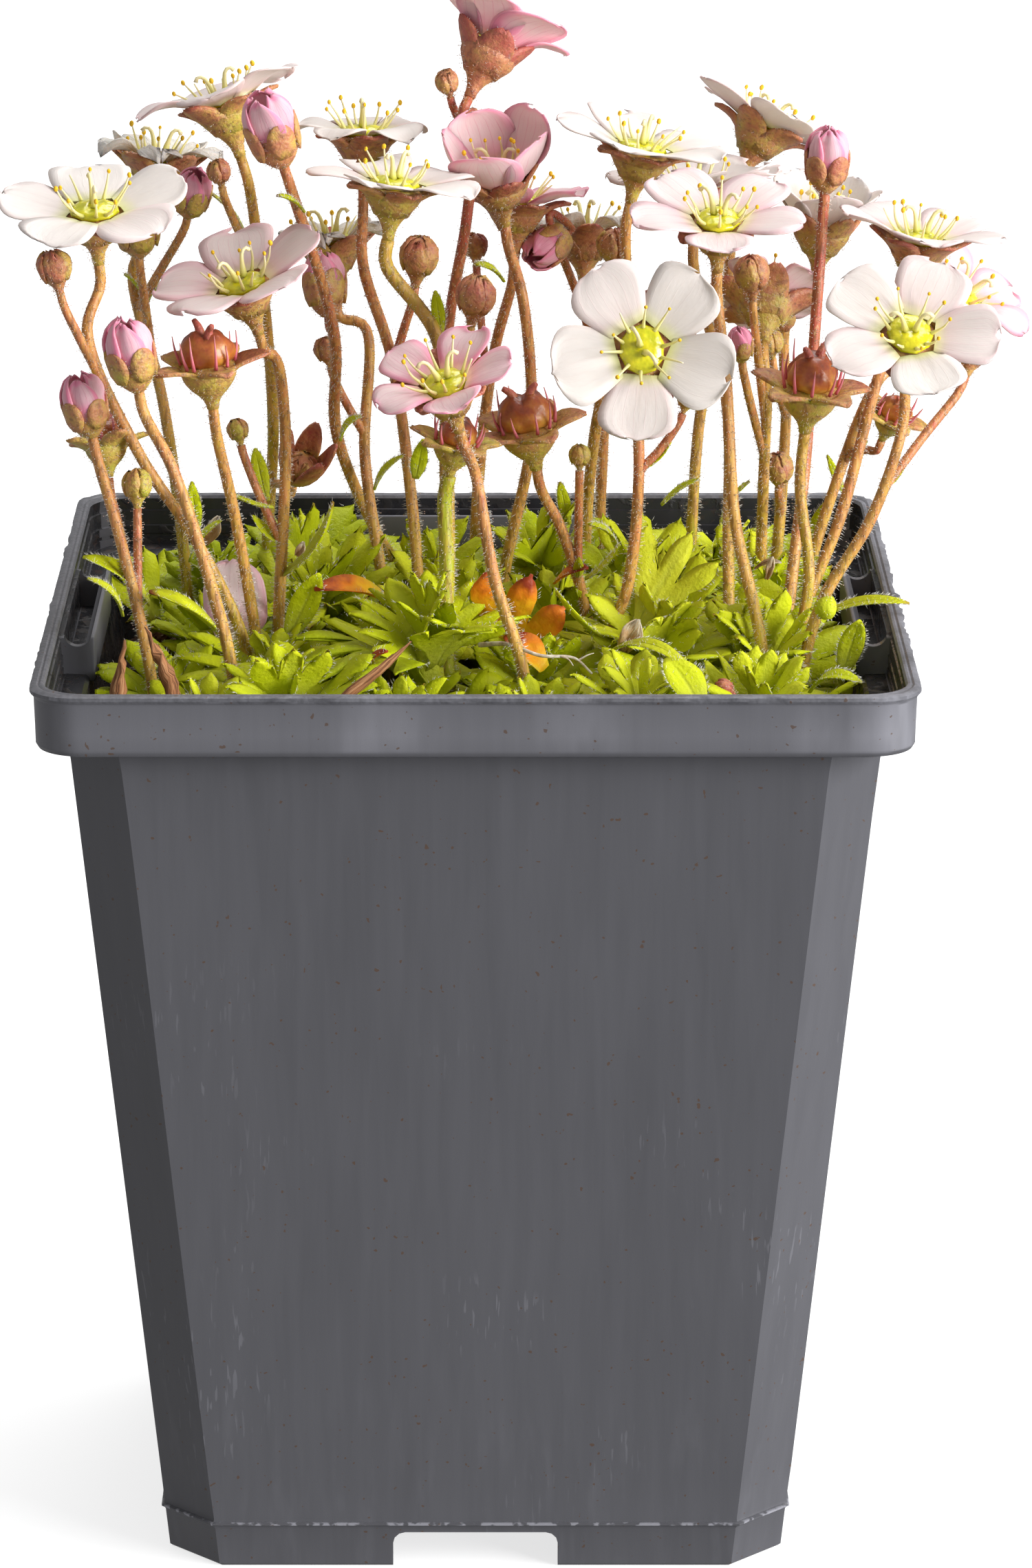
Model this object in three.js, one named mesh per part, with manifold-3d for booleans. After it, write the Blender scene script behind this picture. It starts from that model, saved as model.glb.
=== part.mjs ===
// Potted mossy saxifrage: a deep square nursery pot of compost, a cushion of lobed leaf rosettes
// and thirty branching flower stalks. Millimetres, +Z up, +X to the right and +Y to the back,
// with the origin under the middle of the pot.

import * as THREE from 'three';
import Module from 'manifold-3d';

const wasm = await Module();
wasm.setup();

// Driving dimensions of the pot
const POT_HEIGHT = 99;
const LIP_HALF = 45;
const BAND_HALF = 44.4;
const BAND_FOOT = 92.3;
const BODY_TOP_HALF = 41.4;
const BASE_HALF = 32.7;
const WALL = 1.1;
const CORNER_CUT = 5.5;
const BAND_CORNER = 4.7;
const FLOOR_UNDERSIDE = 5;
const FLOOR_THICKNESS = 1.2;
const NOTCH_WIDTH = 17.5;
const NOTCH_HEIGHT = 4;
const NOTCH_ROUND = 1.4;
const LEDGE_OUT = 0.35;
const FOOT_PAD_RADIUS = 6;
const DRAIN_RADIUS = 4.5;
const DRAIN_PLACE = 17;
const LUG_LENGTH = 30;
const LUG_TOP = 97.4;
const SHOULDER_TOP = BAND_FOOT + WALL;

// Driving dimensions of the plant
const GAP = 0.3;
const SOIL_TOP = 86.5;
const STEM_FOOT = 79;
const STEM_RADIUS = 0.6;
const STEM_FOOT_SWELL = 1.15;
const STEM_TIP_TAPER = 0.9;
const SIDE_FOOT_RADIUS = 0.55;
const SIDE_TIP_RADIUS = 0.5;
const HEAD_LEAD = 2.4;
const BRACT_OUT = 3.6;
const BRACT_UP = 2.6;
const STEM_STEP = 15;
const BORE_MARGIN = 0.32;
const BORE_TOP = 112;
const CALYX_DEPTH = 5.4;
const PETAL_ROOT = 2.5;
const PETAL_SEAT = 0.3;
const PETAL_SPREAD = 21;
const PETAL_THICKNESS = 0.7;
const LEAF_THICKNESS = 1.1;
const CORE_TOP = 90;
const ROOT_SUNK = 0.8;
const PLANT_ROOM = 60;
const SIDES = 5;
const PATCH_SEED = 11;
const PETAL_SEED = 301;

const MATERIALS = {
  pot: material(0x58595d, 0.42),
  soil: material(0x2b1d14, 0.95),
  leaf: material(0x86a62a, 0.55),
  stem: material(0x8a7a33, 0.55),
  petal: material(0xf3f1ea, 0.5),
  pinkPetal: material(0xe6a9b8, 0.5),
};

function material(color, roughness) {
  return new THREE.MeshStandardMaterial({ color, roughness, metalness: 0 });
}

// Seeded random numbers, so that every build grows the same plant
function randomFrom(seed) {
  let state = seed;
  return () => {
    state = (state + 0x6d2b79f5) | 0;
    let mixed = Math.imul(state ^ (state >>> 15), 1 | state);
    mixed = (mixed + Math.imul(mixed ^ (mixed >>> 7), 61 | mixed)) ^ mixed;
    return ((mixed ^ (mixed >>> 14)) >>> 0) / 4294967296;
  };
}

const vec = (x, y, z) => new THREE.Vector3(x, y, z);
const degrees = (angle) => THREE.MathUtils.degToRad(angle);

// Solids and meshes

// A closed solid from its points and triangles, turned right side out
function solidFrom(points, triangles) {
  let volume = 0;
  for (const [a, b, c] of triangles) {
    volume += points[a].dot(points[b].clone().cross(points[c]));
  }
  const outward = volume > 0 ? triangles : triangles.map(([a, b, c]) => [a, c, b]);
  const vertProperties = new Float32Array(points.flatMap((p) => [p.x, p.y, p.z]));
  const triVerts = new Uint32Array(outward.flat());
  return new wasm.Manifold(new wasm.Mesh({ numProp: 3, vertProperties, triVerts }));
}

// The skin over a stack of rings with equal counts of points; a ring of one point closes an end
function loft(rings) {
  const points = rings.flat();
  const triangles = [];
  let start = 0;
  for (let i = 0; i + 1 < rings.length; i += 1) {
    const next = start + rings[i].length;
    bridge(triangles, start, rings[i].length, next, rings[i + 1].length);
    start = next;
  }
  capEnd(triangles, 0, rings[0].length, true);
  capEnd(triangles, start, rings[rings.length - 1].length, false);
  return solidFrom(points, triangles);
}

// The triangles between two rings of equal counts, or where one has a single point or twice as many
function bridge(triangles, low, lowCount, high, highCount) {
  const count = Math.min(lowCount, highCount);
  if (count === 1) {
    for (let i = 0; i < Math.max(lowCount, highCount); i += 1) {
      const j = (i + 1) % Math.max(lowCount, highCount);
      triangles.push(lowCount > 1 ? [low + i, low + j, high] : [low, high + j, high + i]);
    }
    return;
  }
  for (let i = 0; i < count; i += 1) {
    const j = (i + 1) % count;
    if (highCount === 2 * lowCount) {
      const [here, between, there] = [2 * i, 2 * i + 1, (2 * i + 2) % highCount];
      triangles.push([low + i, low + j, high + between], [low + i, high + between, high + here]);
      triangles.push([low + j, high + there, high + between]);
    } else if (lowCount === 2 * highCount) {
      const [here, between, there] = [2 * i, 2 * i + 1, (2 * i + 2) % lowCount];
      triangles.push([low + here, low + between, high + i], [low + between, low + there, high + j]);
      triangles.push([low + between, high + j, high + i]);
    } else {
      triangles.push([low + i, low + j, high + j], [low + i, high + j, high + i]);
    }
  }
}

function capEnd(triangles, start, count, isFirst) {
  for (let i = 1; i + 1 < count; i += 1) {
    triangles.push(isFirst ? [start, start + i + 1, start + i] : [start, start + i, start + i + 1]);
  }
}

// One solid out of many; a scrap that joins nothing is dropped
function fuse(solids) {
  return largestOf(wasm.Manifold.union(solids));
}

function largestOf(solid) {
  const bodies = solid.decompose();
  return bodies.reduce((best, body) => (body.volume() > best.volume() ? body : best));
}

function meshOf(name, solid, surface) {
  const { vertProperties, triVerts, numProp } = solid.getMesh();
  const positions = new Float32Array((vertProperties.length / numProp) * 3);
  for (let i = 0; i < positions.length / 3; i += 1) {
    positions.set(vertProperties.subarray(i * numProp, i * numProp + 3), i * 3);
  }
  const geometry = new THREE.BufferGeometry();
  geometry.setAttribute('position', new THREE.BufferAttribute(positions, 3));
  geometry.setIndex(new THREE.BufferAttribute(new Uint32Array(triVerts), 1));
  const mesh = new THREE.Mesh(geometry, surface);
  mesh.name = name;
  return mesh;
}

// The pot

// A level square ring of 16 points, its corners cut flat with softened ends
function cutSquare(half, cut, z) {
  const soft = 0.5;
  const corner = [
    [half, half - cut - soft],
    [half - soft * 0.5, half - cut + soft * 0.5],
    [half - cut + soft * 0.5, half - soft * 0.5],
    [half - cut - soft, half],
  ];
  return fourCorners(corner, z);
}

// A level square ring of 16 points with round corners
function roundSquare(half, radius, z) {
  const corner = [0, 30, 60, 90].map((angle) => [
    half - radius + radius * Math.cos(degrees(angle)),
    half - radius + radius * Math.sin(degrees(angle)),
  ]);
  return fourCorners(corner, z);
}

function fourCorners(corner, z) {
  const ring = [];
  for (let quarter = 0; quarter < 4; quarter += 1) {
    const turn = degrees(90 * quarter);
    for (const [x, y] of corner) {
      ring.push(vec(x, y, z).applyAxisAngle(vec(0, 0, 1), turn));
    }
  }
  return ring;
}

const bodyHalfAt = (z) => BASE_HALF + ((BODY_TOP_HALF - BASE_HALF) * z) / BAND_FOOT;
const bodyRing = (z, inset) => cutSquare(bodyHalfAt(z) - inset, CORNER_CUT - inset * 0.4, z);

function prism(outline, low, high) {
  return loft([outline.map(([x, y]) => vec(x, y, low)), outline.map(([x, y]) => vec(x, y, high))]);
}

function regular(radius, sides, x, y) {
  const outline = [];
  for (let i = 0; i < sides; i += 1) {
    const angle = (2 * Math.PI * (i + 0.5)) / sides;
    outline.push([x + radius * Math.cos(angle), y + radius * Math.sin(angle)]);
  }
  return outline;
}

function rectangle(x0, y0, x1, y1) {
  return [[x0, y0], [x1, y0], [x1, y1], [x0, y1]];
}

const quarterTurns = (solid) => [0, 90, 180, 270].map((turn) => solid.rotate([0, 0, turn]));

function makePot() {
  const ledge = FLOOR_UNDERSIDE;
  const outside = loft([
    bodyRing(0, 0),
    bodyRing(ledge - 0.3, 0),
    bodyRing(ledge, -LEDGE_OUT),
    bodyRing(ledge + 0.5, 0),
    bodyRing(BAND_FOOT, 0),
    roundSquare(BAND_HALF - 0.5, BAND_CORNER, BAND_FOOT),
    roundSquare(BAND_HALF, BAND_CORNER, BAND_FOOT + 0.5),
    roundSquare(BAND_HALF + 0.2, BAND_CORNER, POT_HEIGHT - 0.9),
    roundSquare(LIP_HALF, BAND_CORNER, POT_HEIGHT - 0.6),
    roundSquare(LIP_HALF, BAND_CORNER, POT_HEIGHT),
  ]);
  const inside = loft([
    bodyRing(FLOOR_UNDERSIDE + FLOOR_THICKNESS, WALL),
    bodyRing(SHOULDER_TOP, WALL),
    roundSquare(BAND_HALF - WALL, BAND_CORNER - WALL, SHOULDER_TOP),
    roundSquare(BAND_HALF - WALL + 0.3, BAND_CORNER - WALL, POT_HEIGHT - 1.6),
    roundSquare(BAND_HALF - WALL + 0.5, BAND_CORNER - WALL, POT_HEIGHT + 1),
  ]);
  const underside = loft([bodyRing(-1, WALL * 1.2), bodyRing(FLOOR_UNDERSIDE, WALL * 1.2)]);
  const pad = prism(regular(FOOT_PAD_RADIUS, 16, 0, 0), 0, FLOOR_UNDERSIDE + 0.5);
  const drain = prism(regular(DRAIN_RADIUS, 8, DRAIN_PLACE, DRAIN_PLACE), 1, 20);
  const shell = outside.subtract(inside).subtract(underside);
  return fuse([shell, pad, ...quarterTurns(makeLug())])
    .subtract(wasm.Manifold.union([...quarterTurns(drain), ...quarterTurns(makeNotch())]));
}

// A pocket-shaped stacking lug on the shoulder, halfway along the wall at +X
function makeLug() {
  const inner = bodyHalfAt(SHOULDER_TOP) - WALL - 0.6;
  const outer = BAND_HALF - WALL + 0.5;
  const half = LUG_LENGTH / 2;
  const block = prism(rectangle(inner, -half, outer, half), SHOULDER_TOP - WALL * 0.7, LUG_TOP);
  const pocket = prism(
    rectangle(inner + 1, 1 - half, BAND_HALF - WALL - 0.2, half - 1),
    SHOULDER_TOP - 0.1,
    LUG_TOP + 1,
  );
  return block.subtract(pocket);
}

// A low opening with rounded upper corners in the foot at +X
function makeNotch() {
  const half = NOTCH_WIDTH / 2;
  const profile = new THREE.Shape();
  profile.moveTo(-half, -1);
  profile.lineTo(half, -1);
  profile.lineTo(half, NOTCH_HEIGHT - NOTCH_ROUND);
  profile.quadraticCurveTo(half, NOTCH_HEIGHT, half - NOTCH_ROUND, NOTCH_HEIGHT);
  profile.lineTo(NOTCH_ROUND - half, NOTCH_HEIGHT);
  profile.quadraticCurveTo(-half, NOTCH_HEIGHT, -half, NOTCH_HEIGHT - NOTCH_ROUND);
  const outline = profile.extractPoints(3).shape;
  const section = (x) => outline.map((p) => vec(x, p.x, p.y));
  return loft([section(BASE_HALF - 4), section(BASE_HALF + 2)]);
}

// The compost, a tapered block with softened upper edges
function makeSoil() {
  const clear = WALL + GAP;
  return loft([
    bodyRing(FLOOR_UNDERSIDE + FLOOR_THICKNESS + GAP, clear),
    bodyRing(SOIL_TOP - 2.5, clear),
    bodyRing(SOIL_TOP - 0.8, clear + 1.6),
    bodyRing(SOIL_TOP, clear + 5),
  ]);
}

// Stems

// A ring of points about a centre, square to the axis that the two given directions span
function ringAbout(centre, across, up, radius, sides = SIDES) {
  const ring = [];
  for (let i = 0; i < sides; i += 1) {
    const angle = (2 * Math.PI * i) / sides;
    ring.push(
      centre.clone()
        .addScaledVector(across, radius * Math.cos(angle))
        .addScaledVector(up, radius * Math.sin(angle)),
    );
  }
  return ring;
}

// Rings along a smooth route that ends under a head, then the rings of the head itself.
// The spine is the list of the stem rings' centres.
function stemRings(route, head, facing, profile, foot, tip, sides = SIDES) {
  const base = head.clone().addScaledVector(facing, profile[0][0]);
  const lead = head.clone().addScaledVector(facing, profile[0][0] - HEAD_LEAD);
  const curve = new THREE.CatmullRomCurve3([...route, lead, base], false, 'centripetal');
  const steps = Math.max(2, Math.round(curve.getLength() / STEM_STEP));
  const frames = curve.computeFrenetFrames(steps, false);
  const spine = curve.getSpacedPoints(steps);
  const rings = spine.map((centre, i) => {
    const radius = THREE.MathUtils.lerp(foot, tip, i / steps);
    return ringAbout(centre, frames.normals[i], frames.binormals[i], radius, sides);
  });
  const across = frames.normals[steps].clone();
  across.addScaledVector(facing, -across.dot(facing)).normalize();
  const up = facing.clone().cross(across);
  const frame = { head, facing, across, up };
  for (const [height, radius, tips] of profile.slice(1)) {
    const apex = [headPoint(frame, 0, 0, height)];
    rings.push(radius > 0 ? headRing(frame, height, radius, tips, sides) : apex);
  }
  return { rings, spine, frame };
}

// The point part of the way along a spine
function alongSpine(spine, part) {
  const place = part * (spine.length - 1);
  const i = Math.min(Math.floor(place), spine.length - 2);
  return spine[i].clone().lerp(spine[i + 1], place - i);
}

// A ring of a head: plain, or of twice as many points with every second one drawn out
function headRing(frame, height, radius, tips, sides) {
  const count = tips ? 2 * sides : sides;
  const ring = [];
  for (let i = 0; i < count; i += 1) {
    const isTip = tips?.reach && i % 2 === 1;
    const turn = (2 * Math.PI * i) / count;
    const [out, rise] = isTip ? [tips.reach, tips.rise] : [radius, 0];
    ring.push(headPoint(frame, turn, out, height + rise));
  }
  return ring;
}

// The four-sided hole that a stem needs in the compost and through the cushion
function boreFor({ spine, thick }) {
  const radius = (thick * STEM_FOOT_SWELL + BORE_MARGIN) * Math.SQRT2;
  const square = (centre) => ringAbout(centre, vec(1, 0, 0), vec(0, 1, 0), radius, 4);
  const past = spine.findIndex((point) => point.z > BORE_TOP);
  const below = spine[0].clone().setZ(spine[0].z - GAP);
  return loft([below, ...spine.slice(1, past + 1)].map(square));
}

// Heads

// A three-sided spike between two points, flattened where its height is less than its radius
function spike(root, tip, radius, height = radius) {
  const axis = tip.clone().sub(root).normalize();
  const across = vec(0, 0, 1).cross(axis).normalize().multiplyScalar(radius);
  const up = axis.clone().cross(across).normalize().multiplyScalar(height);
  return loft([ringAbout(root, across, up, 1, 3), [tip]]);
}

// Head profiles: height along the facing direction and radius. A third entry draws every second
// point of a ring out into the tip of a sepal or of a stamen, or is the word double for a plain
// ring of twice as many points.
const OPEN_PROFILE = [
  [-CALYX_DEPTH, 0.75],
  [-3.4, 1.7],
  [-1.6, 2.1, { reach: 4.6, rise: 0.3 }],
  [-0.6, 2.0],
  [0.9, 1.9],
  [1.4, 1.3, { reach: 3.2, rise: 3.2 }],
  [2, 1.4],
  [3, 0],
];
const DEEP_PROFILE = OPEN_PROFILE.map(([height, radius, tips]) =>
  [height, radius, tips && height > 0 ? { reach: 2.2, rise: 3.8 } : tips]);
const BUD_PROFILE = [[-3.4, 0.65], [-1.6, 1.95], [0.6, 2.15], [2.7, 1.3], [3.8, 0]];
const SIDE_BUD_PROFILE = [[-3.2, 0.6], [-1, 1.95, 'double'], [1.4, 2, 'double'], [3.4, 0.9], [4, 0]];
const SPENT_PROFILE = [
  [-5, 0.75],
  [-3, 2.3],
  [-0.8, 2.9, { reach: 6.4, rise: 1.4 }],
  [0.4, 2.5],
  [1, 1.6, { reach: 3.9, rise: 3.6 }],
  [1.6, 1.3],
  [4.6, 0],
];

// Points of a head's own frame: turn round the facing direction, distance out and height
function headPoint(frame, turn, out, height) {
  return frame.head.clone()
    .addScaledVector(frame.across, out * Math.cos(turn))
    .addScaledVector(frame.up, out * Math.sin(turn))
    .addScaledVector(frame.facing, height);
}

const scaled = (profile, size) =>
  profile.map(([height, radius, tips]) => [height * size, radius * size, tips]);

// One ring of five petals with notches between them. Each column of points runs outwards along
// a petal, which is thickest at its waist and thin at its edge, alike on both faces.
function makeCorolla({ frame, cup = 18, flare = 5, petal }, seed) {
  const random = randomFrom(seed);
  const points = [];
  const columns = [];
  const place = (turn, out, height) => {
    points.push(headPoint(frame, degrees(turn), out, height));
    return points.length - 1;
  };
  const addColumn = (turn, waist, reach, droop) => {
    const slope = degrees(flare + droop);
    const waistOut = PETAL_ROOT + waist * Math.cos(degrees(cup));
    const waistUp = PETAL_SEAT + waist * Math.sin(degrees(cup));
    const half = PETAL_THICKNESS / 2 / Math.cos(degrees(Math.min(cup, 60)));
    columns.push({
      inner: [place(turn, PETAL_ROOT, PETAL_SEAT + half), place(turn, PETAL_ROOT, PETAL_SEAT - half)],
      waist: waist > 0
        ? [place(turn, waistOut, waistUp + half), place(turn, waistOut, waistUp - half)]
        : null,
      tip: place(turn, waistOut + reach * Math.cos(slope), waistUp + reach * Math.sin(slope)),
    });
  };
  for (let i = 0; i < 5; i += 1) {
    const droop = (random() - 0.5) * 18;
    addColumn(72 * i - 36, 0, petal * 0.42, cup - flare);
    addColumn(72 * i - PETAL_SPREAD, petal * 0.5, petal * 0.5, droop + (random() - 0.5) * 8);
    addColumn(72 * i + PETAL_SPREAD, petal * 0.5, petal * 0.5, droop + (random() - 0.5) * 8);
  }
  const triangles = [];
  columns.forEach((here, i) => {
    const next = columns[(i + 1) % columns.length];
    for (const face of [0, 1]) {
      const chain = (column) =>
        [column.inner[face], ...(column.waist ? [column.waist[face]] : []), column.tip];
      for (const triangle of strip(chain(here), chain(next))) {
        triangles.push(face ? triangle.reverse() : triangle);
      }
    }
    const [a, b] = [here.inner, next.inner];
    triangles.push([a[0], b[0], b[1]], [a[0], b[1], a[1]]);
  });
  return solidFrom(points, triangles);
}

// The triangles between two neighbouring columns, each of two or three points from the root out
function strip(left, right) {
  if (left.length < right.length) {
    return [[left[0], right[1], right[0]], [left[0], left[1], right[1]],
      [left[1], right[2], right[1]]];
  }
  if (left.length > right.length) {
    return [[left[0], left[1], right[0]], [left[1], right[1], right[0]],
      [left[1], left[2], right[1]]];
  }
  return [[left[0], left[1], right[1]], [left[0], right[1], right[0]],
    [left[1], left[2], right[2]], [left[1], right[2], right[1]]];
}

// Stalks, each with its foot in the compost, its route from there to below its head, the head's
// place and the way it faces.  A head is a ring of petals of the given length, or a bud or a spent
// flower of the given size. Sides are side buds, which leave at a part of the stem's length.
const STALKS = [
  { foot: [-23, -11], route: [[-24, -12, 95], [-29, -13, 107], [-35, -14, 117], [-40, -15, 130]],
    head: [-39, -15, 142], facing: [-0.05, -0.25, 1], petal: 7.3, cup: 12,
    sides: [{ at: 0.76, to: [-43, -18, 137], size: 0.8, bract: true }] },
  { foot: [-24, -25], route: [[-25, -25, 96], [-27, -25, 105], [-31, -25, 118]],
    head: [-35, -24, 129], facing: [-0.2, -0.1, 1], bud: 1.05 },
  { foot: [-22, -8], route: [[-23, -10, 95], [-25, -14, 110]],
    head: [-27.5, -17.5, 127], facing: [-0.1, -0.1, 1], spent: 0.95 },
  { foot: [-31, 22], route: [[-32, 21, 97], [-34, 19, 115], [-37, 18, 130]],
    head: [-34, 17, 141.5], facing: [0.1, 0.1, 1], petal: 4.6, cup: 35, flare: -10,
    sides: [{ at: 0.7, to: [-36, 10, 136], size: 1 }, { at: 0.8, to: [-30, 7, 140], size: 0.8 }] },
  { foot: [-21, -2], route: [[-21, -3, 94], [-20, -5, 118], [-21, -8, 126]],
    head: [-24, -10.5, 133.5], facing: [-0.3, -0.25, 1], petal: 6.8, cup: 22,
    sides: [{ at: 0.5, to: [-25, -4, 117], size: 0.5, bract: true }] },
  { foot: [-22, 25], route: [[-23, 24, 96], [-22, 18, 113], [-23, 12, 131]],
    head: [-26.5, 9, 149], facing: [-0.32, 0.15, 1], petal: 6.8, cup: 25, flare: -5,
    sides: [{ at: 0.78, to: [-27, 4, 143], size: 0.55 }, { at: 0.4, to: [-19, 13, 109], size: 1 }] },
  { foot: [-8, 27], route: [[-8, 26, 93], [-11, 22, 100], [-15, 13, 113], [-15, 4, 126]],
    head: [-21, -6, 149], facing: [-0.3, -0.2, 1], bud: 1.15,
    sides: [{ at: 0.68, to: [-16, 8, 130], size: 0.95 }] },
  { foot: [-9, 13], route: [[-10, 13, 95], [-12, 15, 110], [-12, 17, 124]],
    head: [-15.5, 18, 132.5], facing: [-0.1, 0.1, 1], petal: 3.6, cup: 40, flare: 0,
    sides: [{ at: 0.66, to: [-16, 13, 122], size: 0.6 }] },
  { foot: [-6, 3], route: [[-6, 4, 96], [-7, 5, 109], [-9, 6, 123], [-12, 10, 132]],
    head: [-12, 14, 145], facing: [0, 0.05, 1], petal: 5, cup: 22, flare: -25,
    sides: [{ at: 0.68, to: [-6, 3, 134], size: 0.95 }] },
  { foot: [-3, -7], route: [[-3, -6, 95], [-3, -5, 112], [-4, -4, 127]],
    head: [-8.5, -3, 142.5], facing: [0.12, 0, 1], petal: 6.6, cup: 15, flare: -5, thick: 0.75,
    sides: [{ at: 0.7, to: [0, -8, 132], size: 0.95, bract: true }] },
  { foot: [6, -25], route: [[5, -25, 96], [2, -25, 106], [0, -24, 117]],
    head: [-3, -22, 125.5], facing: [-0.25, -0.35, 0.9], petal: 5.2, cup: 28, flare: 5, pink: true },
  { foot: [-2, -15], route: [[-3, -15, 95], [-3, -14, 106]],
    head: [-2, -14, 118], facing: [0.2, -0.1, 1], spent: 0.75, thick: 0.8 },
  { foot: [-3, 32], route: [[-3, 30, 95], [-3, 22, 122], [-1, 18, 135], [0, 16.5, 147]],
    head: [1.5, 15, 154], facing: [0.3, -0.05, 1], petal: 6.4, cup: 48, flare: 18, pink: true,
    sides: [{ at: 0.86, to: [-3, 13, 151], size: 0.55 }] },
  { foot: [3, 17], route: [[3, 16, 95], [6, 11, 113], [5, 8, 129]],
    head: [2.5, 7.5, 141.5], facing: [-0.1, -0.1, 1], petal: 6.6, cup: 62, flare: 68, pink: true },
  { foot: [1, 36], route: [[0, 34, 96], [2, 29, 118]],
    head: [4.5, 25, 135.5], facing: [0.05, 0.1, 1], petal: 5.4, cup: 22, flare: 0, pink: true,
    sides: [{ at: 0.66, to: [0, 30, 130], size: 0.6 }] },
  { foot: [13, 3], route: [[12, 2, 95], [9, -1, 106]],
    head: [5.5, -4, 117.5], facing: [-0.2, -0.2, 1], spent: 1,
    sides: [{ at: 0.6, to: [11, -3, 114], size: 0.5, bract: true }] },
  { foot: [13, -8], route: [[14, -9, 95], [16, -11, 102], [17, -13, 114]],
    head: [17, -20, 129], facing: [0.05, -0.94, 0.34], petal: 6.9, cup: 15,
    sides: [{ at: 0.72, to: [22, -12, 122], size: 0.45, bract: true }] },
  { foot: [12, 25], route: [[12, 24, 95], [13, 17, 112], [16, 10, 130]],
    head: [17.5, 7, 144.5], facing: [0.2, -0.05, 1], petal: 6.9, cup: 20, flare: 0 },
  { foot: [14, 37], route: [[14, 36, 98], [14, 33, 118]],
    head: [12, 34, 130.5], facing: [0, 0.2, 1], petal: 3.8, cup: 38, flare: -10,
    sides: [{ at: 0.76, to: [8, 26, 131], size: 0.9, nod: true },
      { at: 0.68, to: [15, 25, 131], size: 0.8 }] },
  { foot: [31, -16], route: [[30, -16, 96], [27, -14, 110], [26, -13, 124]],
    head: [25, -12, 140.5], facing: [0, -0.3, 1], petal: 6.6, cup: 16 },
  { foot: [27, -6], route: [[27, -4, 93], [27, 2, 104], [27, 12, 117], [24, 18, 128]],
    head: [23.5, 18, 138.5], facing: [0, 0.05, 1], petal: 7, cup: 20 },
  { foot: [23, 31], route: [[24, 31, 96], [25, 32, 111], [28, 33, 127]],
    head: [31.5, 32, 142.5], facing: [0.45, 0.27, 0.87], petal: 6.6, cup: 20 },
  { foot: [31, 23], route: [[33, 22, 95], [34, 22, 113], [34, 21, 124]],
    head: [37.5, 20, 134], facing: [0.1, -0.05, 1], petal: 5.4, cup: 58, flare: 50,
    sides: [{ at: 0.66, to: [32, 17, 122], size: 0.6 }, { at: 0.45, to: [33, 17, 108], size: 0.75 }] },
  { foot: [32, -5], route: [[33, -4, 95], [35, 1, 112], [36, 3, 127]],
    head: [37, 4, 144], facing: [0.05, -0.1, 1], bud: 0.95 },
  { foot: [33, -18], route: [[34, -18, 94], [36, -18, 102], [41, -18, 111], [44, -17, 120]],
    head: [44.5, -18.5, 130], facing: [0, -0.62, 0.78], petal: 6.6, cup: 15,
    sides: [{ at: 0.72, to: [52, -9, 127], size: 0.95, bract: true }] },
  { foot: [34, -11], route: [[34, -11, 95], [35, -11, 103], [34, -9, 112]],
    head: [35, -8, 122.5], facing: [0.1, -0.15, 1], spent: 1 },
  { foot: [31, 13], route: [[31, 13, 96], [31, 8, 110], [31, 4, 120]],
    head: [31, 9.5, 128], facing: [0.05, 0.75, 0.65], petal: 3.8, cup: 20,
    sides: [{ at: 0.7, to: [28, 1, 125], size: 0.55 }, { at: 0.78, to: [29, -1, 133], size: 0.85 }] },
  { foot: [-32, -20], route: [[-34, -21, 97], [-37, -21, 111]],
    head: [-40, -20, 123], facing: [-0.2, -0.1, 1], bud: 0.95,
    sides: [{ at: 0.55, to: [-35, -17, 114], size: 0.7, bract: true }] },
  { foot: [34, 1], route: [[35, 1, 95], [39, 3, 106], [44, 6, 124]],
    head: [47, 6, 135], facing: [0.15, -0.02, 1], petal: 6.6, cup: 25 },
  { foot: [33, 16], route: [[36, 16, 95], [39, 16, 106], [44, 18, 118]],
    head: [52.5, 21, 126], facing: [0.5, -0.2, 0.8], petal: 5.8, cup: 30, pink: true,
    sides: [{ at: 0.62, to: [45, 12, 115], size: 1, bract: true }] },
];

function growStalk(stalk) {
  const { foot, route, thick = STEM_RADIUS, sides = [] } = stalk;
  let profile = stalk.cup > 45 ? DEEP_PROFILE : OPEN_PROFILE;
  if (stalk.bud) profile = scaled(BUD_PROFILE, stalk.bud);
  if (stalk.spent) profile = scaled(SPENT_PROFILE, stalk.spent);
  const { rings, spine, frame } = stemRings(
    [vec(...foot, STEM_FOOT), ...route.map((point) => vec(...point))],
    vec(...stalk.head),
    vec(...stalk.facing).normalize(),
    profile,
    thick * STEM_FOOT_SWELL,
    thick * STEM_TIP_TAPER,
  );
  const solid = fuse([loft(rings), ...sides.flatMap((side) => sideShoot(spine, side))]);
  return { ...stalk, thick, solid, spine, frame };
}

// A thin side stalk with a bud at its end, and the bract that it grows from
function sideShoot(spine, { at, to, size, nod, bract }) {
  const from = alongSpine(spine, at);
  const head = vec(...to);
  const away = head.clone().sub(from);
  const facing = away.clone().normalize().add(vec(0, 0, nod ? -1 : 0.8)).normalize();
  const middle = from.clone().addScaledVector(away, 0.45).add(vec(0, 0, nod ? 2 : -1));
  const route = nod ? [from, middle, head.clone().add(vec(0, 0, 4 * size))] : [from, middle];
  const profile = scaled(SIDE_BUD_PROFILE, size);
  const { rings } = stemRings(route, head, facing, profile, SIDE_FOOT_RADIUS, SIDE_TIP_RADIUS, 3);
  const outward = away.clone().setZ(0).normalize();
  const tip = from.clone().addScaledVector(outward, BRACT_OUT).add(vec(0, 0, BRACT_UP));
  return bract ? [loft(rings), spike(from, tip, 1.1, 0.6)] : [loft(rings)];
}

// The cushion

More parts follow.
